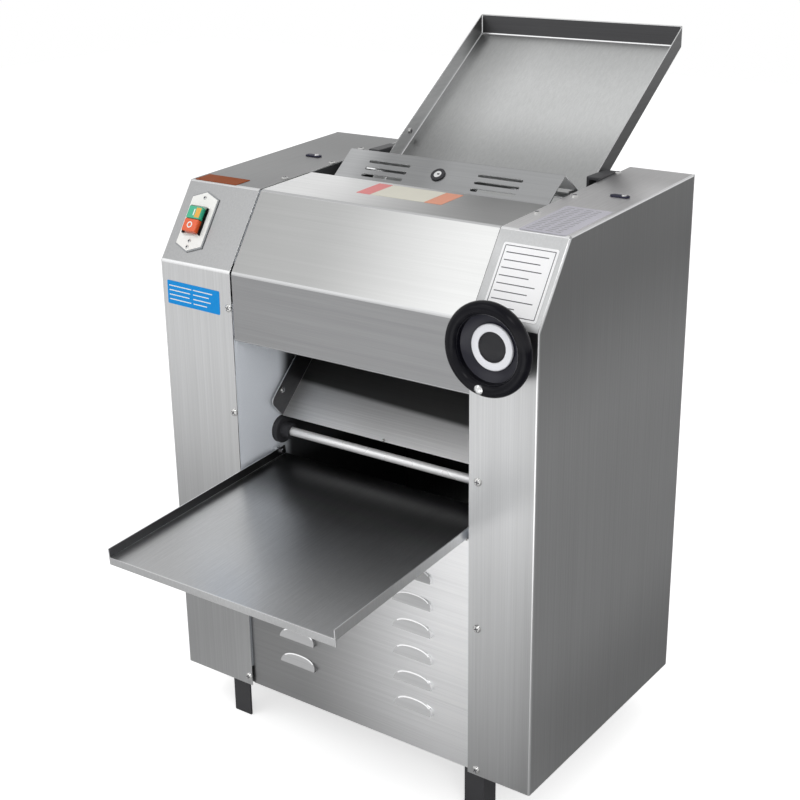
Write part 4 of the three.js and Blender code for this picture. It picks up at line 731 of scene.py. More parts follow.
@dataclass(frozen=True)
class Moulded(Finish):
    """Moulded plastic, paint, enamel or rubber: one tone with grit, small shade changes and dust."""

    tone: Colour
    roughness: float = 0.35
    grit_size: float = 900.0
    depth: float = 0.05
    dust: float = 0.05
    dust_tone: Colour = (0.55, 0.54, 0.52)
    coat: float = 0.0
    metallic: float = 0.0
    specular: float = 0.5
    # painted light and shade: slow changes of brightness laid over the tone
    painted_light: tuple[PaintedLight, ...] = ()
    marks_size: float = 14.0
    bump: float = 0.0004

    def _wire(self, wiring: Wiring, surface: bpy.types.NodeInputs, coords: NodeSocket) -> None:
        """Wires the coat.

        Args:
            wiring: The material's wiring.
            surface: The shader's inputs.
            coords: Object coordinates.
        """
        grit = GRIT.use(wiring, coords, Size=self.grit_size)
        marks = MARKS.use(wiring, coords, Size=self.marks_size)
        varied = wiring.blend(grit, shade(self.tone, 0.92), shade(self.tone, 1.07))
        dusty = wiring.spread(marks, 0.0, self.dust, 0.35, 1.0)
        dusted = wiring.blend(dusty, varied, shade(self.dust_tone, 1.0))
        low, high = self.roughness * 0.85, min(1.0, self.roughness * 1.25)
        wiring.feed(surface["Base Color"], with_painted_light(wiring, coords, dusted, self.painted_light))
        wiring.feed(surface["Roughness"], wiring.spread(marks, low, high))
        wiring.feed(surface["Metallic"], self.metallic)
        wiring.feed(surface["Coat Weight"], self.coat)
        wiring.feed(surface["Specular IOR Level"], self.specular)
        wiring.feed(surface["Coat Roughness"], 0.08)
        wiring.feed(surface["Normal"], wiring.add(
            "Bump", Height=grit, Strength=self.depth, Distance=self.bump))


# Finishes of the folded sheets, each with its own level and slow changes: copies of one steel painted
# lighter or darker by face and place, as painted light, shade and reflection

# Painted highlight: a lighter copy of the steel for folds and cut edges, and for faces painted bright such
# as the receiving tray's right wall, the guard's ends and the lock's top
HIGHLIGHT_STEEL = BrushedSteel("painted_highlight_steel", (0.84, 0.845, 0.85), contrast=0.04)
# Column faces: the fronts painted darker low down and at the right edge, the outer sides darker at top and
# bottom, the slopes a darker copy, the left top dark and the right top bright, both darker towards the back;
# all painted light and shade
COLUMN_STEEL = BrushedSteel(
    "column_steel", painted_light=(PaintedLight(1.0, 0.86, x=(245, 285)), PaintedLight(1.0, 0.92, z=(380, 250))))
COLUMN_SIDE_STEEL = BrushedSteel(
    "column_side_steel", painted_light=(PaintedLight(0.79, 1.22, z=(650, 450)), PaintedLight(1.0, 0.75, z=(220, 30))))
COLUMN_SLOPE_STEEL = BrushedSteel("column_slope_steel", (0.46, 0.464, 0.468))
LEFT_TOP_STEEL = BrushedSteel(
    "left_top_steel", (0.262, 0.264, 0.266), grain=Grain.DEEP, painted_light=(PaintedLight(1.0, 0.8, y=(150, 320)),))
RIGHT_TOP_STEEL = BrushedSteel(
    "right_top_steel", (0.8, 0.79, 0.795), grain=Grain.DEEP, painted_light=(PaintedLight(1.0, 0.52, y=(240, 350)),))
# Hood: its slope painted darker to the left and brighter to the right, its front a darker copy, its top
# painted darker to the right, and its folds a flat painted highlight; all painted light, shade and
# reflection
HOOD_STEEL = BrushedSteel(
    "hood_steel", (0.75, 0.755, 0.75), grain=Grain.ACROSS, contrast=0.035,
    painted_light=(PaintedLight(0.55, 0.92, x=(-60, 190)),))
HOOD_EDGE_STEEL = BrushedSteel("hood_edge_steel", (0.6, 0.605, 0.61), grain=Grain.ACROSS)
HOOD_FRONT_STEEL = BrushedSteel("hood_front_steel", (0.33, 0.332, 0.338), 0.34, Grain.ACROSS)
HOOD_TOP_STEEL = BrushedSteel(
    "hood_top_steel", (0.94, 0.945, 0.94), grain=Grain.ACROSS, painted_light=(PaintedLight(1.0, 0.42, x=(-130, 120)),))
# Lower panel: its steel painted darker to the left as shade, and a darker copy for its louvres, painted
# shade, a little brighter to the right
PANEL_STEEL = BrushedSteel(
    "panel_steel", (0.8, 0.803, 0.81), 0.34, Grain.ACROSS, painted_light=(PaintedLight(0.46, 1.2, x=(-90, 175)),))
LOUVRE_STEEL = BrushedSteel(
    "louvre_steel", (0.39, 0.392, 0.396), 0.34, Grain.ACROSS, painted_light=(PaintedLight(1.0, 1.12, x=(-90, 175)),))
# Receiving tray: its steel painted darker towards the rear and to the right, as shade
TRAY_STEEL = BrushedSteel(
    "tray_steel", grain=Grain.DEEP, painted_light=(PaintedLight(1.0, 0.23, y=(-70, 20)), PaintedLight(1.0, 0.8, x=(40, 140))))
# Feed tray: its floor painted darker low down, at the top and to the left, its end wall and right wall dark
# copies, and its left wall a bright copy darker at the top; all painted light and shade
FEED_STEEL = BrushedSteel(
    "feed_tray_steel", (0.62, 0.628, 0.626), grain=Grain.DEEP,
    painted_light=(PaintedLight(0.6, 1.0, y=(350, 445)), PaintedLight(1.0, 0.8, y=(470, 560)), PaintedLight(0.62, 1.0, x=(-140, -20))))
FEED_END_STEEL = BrushedSteel("feed_end_steel", (0.085, 0.085, 0.088), 0.4, Grain.ACROSS)
FEED_WALL_STEEL = BrushedSteel(
    "feed_wall_steel", (0.96, 0.965, 0.97), 0.45, Grain.DEEP, painted_light=(PaintedLight(1.0, 0.25, y=(500, 560)),))
FEED_SIDE_STEEL = BrushedSteel("feed_side_steel", (0.2, 0.2, 0.203), 0.35, Grain.DEEP)
# Guard: its steel painted brighter at the left end and right of the middle, and a pale matt copy for its
# underside; painted light
GUARD_STEEL = BrushedSteel(
    "guard_steel", (0.4, 0.405, 0.41), 0.32, Grain.ACROSS,
    painted_light=(PaintedLight(1.35, 0.8, x=(-140, -75)), PaintedLight(1.0, 1.25, x=(-20, 30))))
GUARD_INNER = Moulded("guard_inner_face", (0.86, 0.87, 0.87), 0.4)
# Chute: a painted shadow band where the hood's shade falls on its upper part, painted brighter to the right;
# a dark copy for the flanges and the receiving tray's left wall, painted shade
CHUTE_STEEL = BrushedSteel(
    "chute_steel", (0.86, 0.86, 0.865), 0.5, Grain.ACROSS, painted_light=(
        PaintedLight(1.0, 0.13, x=(-156.2, -155.9), y=(119.0, 125.6), z=(424.5, 430.6)),
        PaintedLight(1.0, 1.15, x=(-40, 150))))
FLANGE_STEEL = BrushedSteel("chute_flange_steel", (0.16, 0.16, 0.165), 0.35, Grain.DEEP)
# Pale enamel of the side plates, its ramps painted shade: near black further back than the chute's lower
# edge and darker below the tray
INNER_ENAMEL = Moulded(
    "inner_wall_enamel", (0.86, 0.9, 0.985), 0.42, 700.0, 0.08, 0.02, (0.8, 0.82, 0.86), specular=0.3,
    painted_light=(PaintedLight(1.0, 0.04, y=(84, 110)), PaintedLight(1.0, 0.3, z=(325, 300))))

# Finishes of turned, cast, moulded and printed pieces, with painted shade for the hood's gaps and the screw
# recesses and painted light on the wheel's web

ROLLER_SATIN = Moulded("guide_roller_satin", (0.93, 0.93, 0.94), 0.3, 1200.0, 0.03, metallic=0.35)
PLATE_STEEL = BrushedSteel("ground_plate_steel", (0.5, 0.5, 0.51), 0.42, Grain.ROUND, 0.12)
BRIGHT_STEEL = BrushedSteel("bright_turned_steel", (0.78, 0.785, 0.79), 0.16, Grain.ROUND, 0.04)
SCREW_STEEL = BrushedSteel("screw_steel", (0.7, 0.7, 0.69), 0.22, Grain.ROUND, 0.08)
GEAR_STEEL = BrushedSteel("oiled_gear_steel", (0.2, 0.19, 0.18), 0.38, Grain.ROUND, 0.2, 0.15)
# Painted shade: near black for the hood's ends, where the gaps to the columns lie in shade
GAP_SHADE = Moulded("painted_gap_shade", (0.01, 0.01, 0.011), 0.6, 1100.0, 0.1, 0.02, specular=0.2)
CAST_IRON = Moulded("painted_cast_iron", (0.045, 0.075, 0.06), 0.55, 450.0, 0.5, 0.25, metallic=0.2)
BLACK_PAINT = Moulded("black_paint", (0.012, 0.012, 0.014), 0.38, 1100.0, 0.18, 0.12)
BLACK_NYLON = Moulded("black_nylon", (0.012, 0.012, 0.014), 0.42, 1500.0, 0.12, 0.06)
BAKELITE = Moulded("black_bakelite", (0.004, 0.004, 0.0065), 0.16, 300.0, 0.03, 0.02, specular=0.13)
# Painted light: a lighter, bluer copy of the wheel's bakelite for its web, where its face catches
# reflections
WEB_PAINTED_LIGHT = Moulded("wheel_web_painted_light", (0.011, 0.011, 0.02), 0.2, 300.0, 0.03, 0.02, specular=0.3)
CAP_BLACK = Moulded("cap_black", (0.018, 0.018, 0.021), 0.5, 1600.0, 0.25, 0.04, specular=0.3)
PORT_NAVY = Moulded("port_navy", (0.006, 0.006, 0.03), 0.4, 1600.0, 0.1, 0.03, specular=0.3)
RING_WHITE = Moulded("ring_white", (0.82, 0.83, 0.87), 0.22, 700.0, 0.03, 0.05, (0.6, 0.6, 0.62), 0.3)
SWITCH_WHITE = Moulded("switch_white", (0.88, 0.875, 0.85), 0.3, coat=0.2)
SWITCH_GREY = Moulded("switch_grey_edge", (0.3, 0.31, 0.32), 0.4)
BUTTON_GREEN = Moulded("button_green", (0.05, 0.46, 0.27), 0.25, 900.0, 0.04, 0.03, coat=0.3)
BUTTON_RED = Moulded("button_red", (0.78, 0.12, 0.035), 0.25, 900.0, 0.04, 0.03, coat=0.3)
BUTTON_AMBER = Moulded("button_amber", (0.8, 0.42, 0.06), 0.25, 900.0, 0.04, 0.03, coat=0.3)
MARK_WHITE = Moulded("mark_white", (0.85, 0.87, 0.85), 0.4, 900.0, 0.04, 0.04)
BELT_RUBBER = Moulded("belt_rubber", (0.012, 0.012, 0.012), 0.8, 1200.0, 0.4, 0.2)
PLATE_BLUE = Moulded("plate_blue", (0.005, 0.27, 0.7), 0.4, 1300.0, 0.03, 0.01, specular=0.15)
PLATE_WHITE = Moulded("plate_white", (0.88, 0.88, 0.89), 0.35, 1300.0, 0.03)
# Dark print for rules, and painted shade in the screw heads' cross recesses
DARK_RULE_AND_RECESS_SHADE = Moulded("dark_rule_and_recess_shade", (0.06, 0.06, 0.075), 0.5, 1300.0, 0.03)
RULE_GREY = Moulded("rule_grey", (0.33, 0.33, 0.35), 0.5, 1300.0, 0.03)
STRIP_BROWN = Moulded(
    "strip_brown", (0.27, 0.055, 0.006), 0.45, 500.0, 0.05, 0.03, (0.5, 0.2, 0.05), specular=0.1)
LABEL_LILAC = Moulded("label_lilac", (0.5, 0.49, 0.55), 0.4, 900.0, 0.05, 0.2, (0.7, 0.7, 0.74))
STICKER_BEIGE = Moulded("sticker_beige", (0.72, 0.7, 0.6), 0.45, 1300.0, 0.03, 0.1)
STICKER_RED = Moulded("sticker_red", (0.75, 0.2, 0.2), 0.4, 1300.0, 0.03, 0.08)
STICKER_ORANGE = Moulded("sticker_orange", (0.76, 0.3, 0.18), 0.4, 1300.0, 0.03, 0.08)


# Sub-assemblies

def linked(name: str, data: ID) -> Object:
    """A new object in the scene's own collection.

    Args:
        name: Its name.
        data: Its mesh, lamp or camera.

    Returns:
        The object.
    """
    made = bpy.data.objects.new(name, data)
    bpy.context.scene.collection.objects.link(made)
    return made


@dataclass(frozen=True)
class PanHead:
    """A pan-head screw with a cross recess, in millimetres."""

    radius: float
    height: float
    recess: float
    arm: float = 1.1

    def mesh(self) -> BMesh:
        """The head, standing on z = 0, with its recess a thin raised cross in material 1, which screws paint
        dark as shade.

        Returns:
            A mesh in millimetres.
        """
        crown, shoulder = self.radius * 0.72, self.height * 0.92
        head = turned([
            (0, self.height), (crown, shoulder), (self.radius, self.height * 0.35), (self.radius, -0.2),
            (0, -0.2)], False, 28)
        soften(head, ring_at(crown, shoulder), 0.5)
        middle = (0, 0, self.height - self.recess / 2 + 0.06)
        arms = [
            placed(block(self.radius * 1.15, self.arm, self.recess, middle), Matrix.Rotation(turn, 4, "Z"))
            for turn in (0.0, math.pi / 2)]
        return gathered(head, *(painted(arm, 1) for arm in arms))


def zoned(node: str, folding: Folding, *facings: Vector) -> BMesh:
    """A refolded sheet in zones, each with a material index of its own, so that each side can be painted
    lighter or darker as light and shade.

    Args:
        node: The CAD node.
        folding: How it is folded.
        *facings: Directions, for the faces that look along each.

    Returns:
        Its mesh in metres: the facings from 1 up, the folds and cut edges last, and 0 elsewhere.
    """
    mesh = folding.sheet(node)
    for index, direction in enumerate(facings):
        painted(mesh, index + 1, towards(direction))
    edge_strips(mesh, len(facings) + 1)
    return mesh


class Assembly:
    """A part of the press that is built by itself, with the ways its pieces are handed over."""

    crease_deg = 33.0

    def build(self) -> None:
        """Builds and dresses the sub-assembly."""
        raise NotImplementedError

    def hand_over(
            self, name: str, mesh: BMesh, finishes: Sequence[Finish], slot: str, *nodes: str,
            at: Matrix | None = None, body: str = "frame") -> None:
        """Makes a finished mesh a named piece that rides on its body.

        Args:
            name: The piece's name.
            mesh: Its mesh, which is freed, in metres in the frame, or in millimetres where it has a place.
            finishes: Its finishes, one for each material index.
            slot: The record's material slot; not used.
            *nodes: CAD nodes that it replaces, whose body it rides on.
            at: Its place.
            body: The body it rides on where it replaces no node.
        """
        if at is not None:
            placed(mesh, at)
        for edge in mesh.edges:
            edge.smooth = edge.calc_face_angle(0.0) < math.radians(self.crease_deg)
        for face in mesh.faces:
            face.smooth = True
        data = bpy.data.meshes.new(name)
        mesh.to_mesh(data)
        mesh.free()
        piece = linked(name, data)
        for finish in finishes:
            data.materials.append(finish.material())
        piece.modifiers.new("even_shading", "WEIGHTED_NORMAL").keep_sharp = True
        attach(piece, BODY_OF[nodes[0]] if nodes else body)
        if nodes:
            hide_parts(*nodes)
        LOG.info("%s, %d faces", name, len(data.polygons))

    def sheet(self, node: str, mesh: BMesh, *finishes: Finish) -> None:
        """Hands over the stainless sheet that was refolded from a CAD node."""
        self.hand_over(f"{node}_sheet", mesh, finishes, "stainless", node)

    def refold(self, node: str, finish: Finish, slot: str, folding: Folding, suffix: str) -> None:
        """Replaces a CAD node by a copy in one finish with rounded bends and edges."""
        self.hand_over(f"{node}_{suffix}", folding.sheet(node), [finish], slot, node)

    def screw(self, name: str, head: PanHead, at: Matrix) -> None:
        """Sets one bright screw."""
        self.hand_over(name, head.mesh(), [SCREW_STEEL, DARK_RULE_AND_RECESS_SHADE], "polished_steel", at=at)

    def coat(self, nodes: Iterable[str], finish: Finish) -> None:
        """Gives CAD nodes that stay as they are a finish of their own.

        Args:
            nodes: The nodes.
            finish: Their finish.
        """
        for node in nodes:
            slots = frame["nodes"][node].data.materials
            slots.clear()
            slots.append(finish.material())
            LOG.info("%s coated with %s", node, finish.name)


@dataclass(frozen=True)
class LabelPlate:
    """A thin plate or label with a border and ruled lines instead of any wording, in millimetres."""

    width: float
    height: float
    corner: float = 2.0
    thickness: float = 0.5
    border: float = 0.0
    rows: int = 0
    row_height: float = 1.4
    margin: float = 6.0
    columns: int = 1
    gap: float = 3.0
    print_height: float = 0.06
    shares: tuple[float, ...] = (1.0, 0.86, 0.94, 0.7, 0.9, 0.78, 0.97, 0.6)

    def mesh(self) -> BMesh:
        """Base in material 0, border and rules in material 1.

        Returns:
            A mesh in millimetres, standing on z = 0.
        """
        base = prism(rectangle(self.width, self.height), self.thickness, self.corner)
        top_rim = rim_above(self.thickness / 2)
        soften(base, lambda edge: top_rim(edge) and edge.calc_length() > 0.05, 0.12, 2)
        parts = [base]
        long, high = self.width - self.margin, self.height - self.margin
        for side in (-1, 1) if self.border > 0 else ():
            parts.append(self._bar(0, side * high / 2, long, self.border))
            parts.append(self._bar(side * long / 2, 0, self.border, high))
        step = (high - self.margin) / max(1, self.rows)
        reach = (long - self.margin) / self.columns
        for index in range(self.rows * self.columns):
            row, column = divmod(index, self.columns)
            run = (reach - self.gap) * self.shares[index % len(self.shares)]
            x = -self.width / 2 + self.margin + column * reach + run / 2
            y = self.height / 2 - self.margin - (row + 0.5) * step
            parts.append(self._bar(x, y, run, self.row_height))
        return gathered(*parts)

    def _bar(self, x: float, y: float, width: float, height: float) -> BMesh:
        """One printed bar on the plate."""
        middle = (x, y, self.thickness + self.print_height / 2)
        return painted(block(width, height, self.print_height, middle), 1)


@dataclass
class ColumnCasings(Assembly):
    """The two folded columns and the rear panel with their screws, plates and oil ports."""

    screws: tuple[tuple[str, Facet, float, tuple[Pair, ...]], ...] = (
        ("front", FRONT, 5.4, ((211, 410), (211, 213), (211, 8), (-173, 416), (-173, 560), (-173, 13))),
        ("top", TOP, 4.5, ((-175, 59), (-172, 156), (-187, 242), (206, 67), (208, 154), (200, 281))),
        ("rear", REAR, 4.2, (
            (-278, 30), (-278, 360), (-278, 690), (278, 30), (278, 360), (278, 690), (0, 20), (0, 676))))
    screw_turn_deg: float = 17.0
    ports: tuple[tuple[str, float], ...] = (("left", -222.0), ("right", 257.0))
    port_up: float = 178.2

    def build(self) -> None:
        """Builds and dresses the columns."""
        for side, top in (("left", LEFT_TOP_STEEL), ("right", RIGHT_TOP_STEEL)):
            # Each column's slope, top and outer side take their own lighter or darker copy of the steel,
            # painted light and shade, and its folds and edges the painted highlight
            mesh = zoned(f"{side}_casing", Folding(), SLOPE.normal, TOP.normal, Vector((1, 0, 0)))
            self.sheet(
                f"{side}_casing", mesh, COLUMN_STEEL, COLUMN_SLOPE_STEEL, top, COLUMN_SIDE_STEEL, HIGHLIGHT_STEEL)
        self.sheet("rear_panel", zoned("rear_panel", Folding()), COLUMN_STEEL, HIGHLIGHT_STEEL)
        rows = [(*row, spot) for *row, spots in self.screws for spot in spots]
        for index, (label, facet, radius, spot) in enumerate(rows):
            matrix = facet.matrix(*spot, turn_deg=self.screw_turn_deg * index)
            self.screw(f"{label}_screw_{index + 1}", PanHead(radius, radius / 2, 1.0), matrix)
        self._plates()
        for side, x in self.ports:
            self._oil_port(side, x)

    def _plates(self) -> None:
        """Sets the bare coloured plates where the real press carries its plates and labels."""
        blue = LabelPlate(92, 32, 1.5, rows=4, row_height=1.3, margin=3.5, columns=2)
        brown = LabelPlate(73, 29, 1.5, border=0.5, margin=3.0)
        white = LabelPlate(73, 89, 3.0, 0.6, border=1.0, rows=8, row_height=1.2, margin=7.0)
        lilac = LabelPlate(62, 112, 2.0, 0.25, rows=15, row_height=2.6, margin=5.0, columns=4)
        for name, plate, place, base, rules, slot in (
                ("blue_plate", blue, FRONT.matrix(-234, 565, 0, -1.2), PLATE_BLUE, MARK_WHITE, "white"),
                ("brown_strip", brown, TOP.matrix(-246.2, 15.5), STRIP_BROWN, STRIP_BROWN, "red"),
                ("white_plate", white, SLOPE.matrix(245.5, 54.5), PLATE_WHITE, DARK_RULE_AND_RECESS_SHADE, "white"),
                ("lilac_label", lilac, TOP.matrix(252, 56), LABEL_LILAC, RULE_GREY, "white")):
            self.hand_over(name, plate.mesh(), [base, rules], f"{slot}_plastic", at=place)

    def _oil_port(self, side: str, x: float) -> None:
        """An oval dark port with a bright pin in one column's top.

        Args:
            side: The column, left or right.
            x: Its place across the press, mm.
        """
        rim = prism(rectangle(26, 10), 1.2, 4.99, 10)
        soften(rim, rim_above(1), 0.5)
        well = moved(prism(rectangle(21, 6), 0.25, 2.99, 8), 0, 0, 1.15)
        pin = moved(turned([(0, 3.0), (2.2, 2.6), (3.2, 1.4), (3.2, 0.8), (0, 0.8)], False, 24), 5.5, 0, 0)
        self.hand_over(
            f"{side}_oil_port", gathered(rim, painted(well, 1), painted(pin, 2)),
            [PORT_NAVY, PORT_NAVY, BRIGHT_STEEL], "black_nylon", f"{side}_oil_plug",
            at=TOP.matrix(x, self.port_up, 0.3))


@dataclass
class HoodAndPanel(Assembly):
    """The hood over the rollers with its label, and the louvred lower panel."""

    label_up: Pair = (45, 95)
    bands: tuple[tuple[str, Finish, float, float], ...] = (
        ("middle", STICKER_BEIGE, -24, 58), ("left_end", STICKER_RED, -46, -24.4),
        ("right_end", STICKER_ORANGE, 58.4, 84))
    louvre_area: float = 60.0
    crown: float = 1.7

    def build(self) -> None:
        """Builds and dresses the hood and the panel."""
        # The hood's front and top take darker and lighter copies of its steel, painted shade and light, its
        # folds the fold highlight, and its ends near black as painted shade of the gaps to the columns
        hood = zoned("hood", Folding(), FRONT.normal, TOP.normal)
        painted(hood, 4, lambda face: abs(face.normal.x) > 0.5)
        self.sheet("hood", hood, HOOD_STEEL, HOOD_FRONT_STEEL, HOOD_TOP_STEEL, HOOD_EDGE_STEEL, GAP_SHADE)
        self._panel()
        low, high = self.label_up
        for label, finish, start, end in self.bands:
            band = prism(rectangle(end - start, high - low), 0.25, 0.8)
            middle = TOP.matrix((start + end) / 2, (low + high) / 2)
            self.hand_over(f"hood_sticker_{label}", band, [finish], "white_plastic", at=middle)

    def _panel(self) -> None:
        """The lower panel, its louvres in a darker copy of its steel as painted shade, with a painted
        highlight strip along each crown.
        """
        panel = Folding(1.6, 0.8, 0.25).sheet("lower_front_panel")
        for face in list(panel.faces):
            hooded = 0.15 < face.normal.z < 0.9 and face.normal.y < -0.2
            if hooded and face.calc_area() > self.louvre_area * MM * MM:
                middle = face.calc_center_median()
                face.material_index = 1
                inset = bmesh.ops.inset_individual(panel, faces=[face], thickness=self.crown * MM)
                for strip in inset["faces"]:
                    strip.material_index = 2 if strip.calc_center_median().z > middle.z else 1
        self.sheet("lower_front_panel", panel, PANEL_STEEL, LOUVRE_STEEL, HIGHLIGHT_STEEL)


@dataclass
class Handwheel(Assembly):
    """The gap wheel: rim, dished web, hub, white ring, cap and a steel handle bush, in millimetres."""

    rim_centre: float = 48.0
    rim: float = 8.0
    dish: float = 31.0
    hub: float = 18.0
    hub_end: float = -32.0
    bore: float = 7.3
    bush: Pair = (-7.0, -46.5)

    def build(self) -> None:
        """Builds and dresses the wheel."""
        rim, hub_end = self.rim, self.hub_end
        inner, outer = self.rim_centre - rim, self.rim_centre + rim
        wheel = turned([
            (self.bore, -10), (self.dish, -10), (inner, -4.7), (inner, rim), (outer, rim), (outer, -rim),
            (inner, -rim), (inner, -9.7), (self.dish, -15), (self.hub, -15), (self.hub, hub_end),
            (self.bore, hub_end)], True, 96)
        for ring, reach, segments in (
                ((outer, rim), 7.6, 8), ((outer, -rim), 7.6, 8), ((inner, rim), 7.2, 7),
                ((inner, -rim), 1.4, 3), ((self.hub, hub_end), 1.5, 3)):
            soften(wheel, ring_at(*ring), reach, segments)
        # The web's front faces take the lighter, bluer copy of the bakelite, painted light
        painted(wheel, 1, lambda face: face.normal.z > 0.8 and off_axis(face) < inner)
        ring = turned([(17.9, -9.7), (27.4, -9.7), (27.4, -7.0), (17.9, -7.0)], True)
        soften(ring, lambda edge: corner_edge(edge) and all(vert.co.z > -8 for vert in edge.verts), 1.6, 4)
        cap = turned([(0, -5.8), (14.2, -6.0), (17.6, -7.6), (17.6, -9.7), (0, -9.7)], False, 64)
        soften(cap, ring_at(14.2, -6.0), 1.2)
        bush = turned([(0, 10.4), (3.0, 10.2), (5.6, 8.6), (5.6, 3.0), (0, 3.0)], False, 32)
        soften(bush, ring_at(3.0, 10.2), 0.9)
        for name, mesh, finishes, slot, nodes in (
                ("gap_wheel", wheel, [BAKELITE, WEB_PAINTED_LIGHT], "bakelite", ["handwheel"]),
                ("wheel_ring", ring, [RING_WHITE], "white_plastic", ["handwheel_ring"]),
                ("wheel_cap", cap, [CAP_BLACK], "bakelite", ["handwheel_cap"]),
                ("handle_bush", moved(bush, *self.bush, 0), [BRIGHT_STEEL], "polished_steel", [])):
            self.hand_over(name, mesh, finishes, slot, *nodes, at=WHEEL.matrix(0, 0), body="handwheel_unit")


@dataclass
class SwitchSet(Assembly):
    """The switch on the left slope: six-sided plate, housing, green and red push buttons."""

    across: float = -250.0
    centre_up: float = 59.0
    half_width: float = 23.5
    shoulder: float = 34.5
    tip: float = 43.5
    heads_up: tuple[float, ...] = (33.5, -28.0, -36.5)
    button: tuple[float, float, float] = (22.8, 17.1, 26.4)
    button_gap: float = 0.3

    @property
    def place(self) -> Matrix:
        """The middle of the switch on the slope."""
        return SLOPE.matrix(self.across, self.centre_up)

    def build(self) -> None:
        """Builds and dresses the switch."""
        right = [(0, -self.tip), (self.half_width, -self.shoulder), (self.half_width, self.shoulder)]
        outline = [*right, *((-x, -y) for x, y in right)]
        rim = painted(prism(outline, 1.4), 1)
        face = moved(prism([(x * 0.93, y * 0.955) for x, y in outline], 1.0), 0, 0, 1.3)
        for part in (rim, face):
            soften(part, corner_edge, 0.3, 2)
        heads = [moved(PanHead(2.6, 1.4, 0.8).mesh(), 0, up, 2.2) for up in self.heads_up]
        for piece in (piece for head in heads for piece in head.faces):
            piece.material_index += 2
        self.hand_over(
            "switch_face", moved(gathered(rim, face, *heads), 0, 0, 0.3),
            [SWITCH_WHITE, SWITCH_GREY, SCREW_STEEL, DARK_RULE_AND_RECESS_SHADE], "white_plastic", "switch_plate",
            at=self.place)
        self.hand_over(
            "switch_housing", self._housing(), [SWITCH_WHITE], "white_plastic", "switch_box", at=self.place)
        bar = painted(block(1.8, 9.0, 0.12), 1)
        field = painted(block(8.4, 13.5, 0.1, (6.6, 0, -0.02)), 2)
        ring = painted(turned([(2.8, 0), (4.4, 0), (4.4, 0.12), (2.8, 0.12)], True, 32), 1)
        self._button("start", 1, BUTTON_GREEN, "green_plastic", bar, field)
        self._button("stop", -1, BUTTON_RED, "red_plastic", ring)

    def _housing(self) -> BMesh:
        """The housing that stands round the buttons.

        Returns:
            A mesh in millimetres about the middle of the switch.
        """
        shell = bmesh.new()
        shell.faces.new([shell.verts.new((x, y, 8)) for x, y in rectangle(28, 40)])
        inner = bmesh.ops.inset_region(shell, faces=list(shell.faces), thickness=2.0)["faces"]
        middle = [face for face in shell.faces if face not in inner]
        lift(shell, bmesh.ops.extrude_face_region(shell, geom=middle), -16)
        bmesh.ops.delete(shell, geom=middle, context="FACES_ONLY")
        border = [edge for edge in shell.edges if edge.is_boundary]
        lift(shell, bmesh.ops.extrude_edge_only(shell, edges=border), -42)
        bmesh.ops.contextual_create(shell, geom=[edge for edge in shell.edges if edge.is_boundary])
        bmesh.ops.recalc_face_normals(shell, faces=shell.faces)
        soften(shell, lambda edge: corner_edge(edge, 60), 0.8)
        return shell

    def _button(self, label: str, side: int, finish: Finish, slot: str, *marks: BMesh) -> None:
        """One push button with its mark: a bar and an amber field on start, a ring on stop.

        Args:
            label: Its name, start or stop.
            side: 1 above the middle of the switch, -1 below it.
            finish: The cap's finish.
            slot: The record's material slot.
            *marks: What lies on its face.
        """
        centre = side * (self.button_gap + self.button[1] / 2)
        cap = block(*self.button, (0, centre, -0.2))
        soften(cap, corner_edge, 1.2)
        raised = [moved(mark, 0, centre, 13.05) for mark in marks]
        self.hand_over(
            f"{label}_push", gathered(cap, *raised), [finish, MARK_WHITE, BUTTON_AMBER], slot,
            f"{label}_button", at=self.place)


@dataclass
class FingerGuard(Assembly):
    """The slotted guard, its rod and the round lock."""

    lock_across: float = -9.5
    lock_down: float = 27.0
    least_end_area: float = 20.0
    plug: float = 5.4

    def build(self) -> None:
        """Builds and dresses the guard."""
        # The underside takes the pale matt copy, painted light, and the end faces the painted highlight
        # steel
        guard = painted(Folding(1.8, 0.9, 0.2).sheet("finger_guard"), 1, lambda face: face.normal.z < -0.3)
        least = self.least_end_area * MM * MM
        painted(guard, 2, lambda face: abs(face.normal.x) > 0.95 and face.calc_area() > least)
        self.sheet("finger_guard", guard, GUARD_STEEL, GUARD_INNER, HIGHLIGHT_STEEL)
        self.coat(["guard_hinge_rod"], BRIGHT_STEEL)
        head = turned([
            (0, 2.0), (self.plug, 2.0), (5.6, 2.5), (9.0, 2.5), (10, 1.7), (10, 0.3), (8, 0.3), (8, -21.5),
            (0, -21.5)], False, 64)
        soften(head, ring_at(9.0, 2.5), 0.5)
        # The lock's top takes the painted highlight steel and its outer ring black nylon; the keyway is a
        # thin dark bar, painted shade of the key slot
        painted(head, 2, lambda face: face.calc_center_median().z > 0)
        painted(head, 1, lambda face: face.calc_center_median().z > 0 and off_axis(face) > self.plug)
        keyway = painted(block(3.4, 1.8, 0.3, (0.9, 0.3, 2.1)), 1)
        tongue = block(58, 12, 2.5, (23, 0, -20.25))
        soften(tongue, corner_edge, 0.4, 2)
        self.hand_over(
            "round_lock", gathered(head, keyway, tongue), [GUARD_STEEL, BLACK_NYLON, HIGHLIGHT_STEEL],
            "polished_steel", "guard_lock", at=GUARD.matrix(self.lock_across, -self.lock_down))


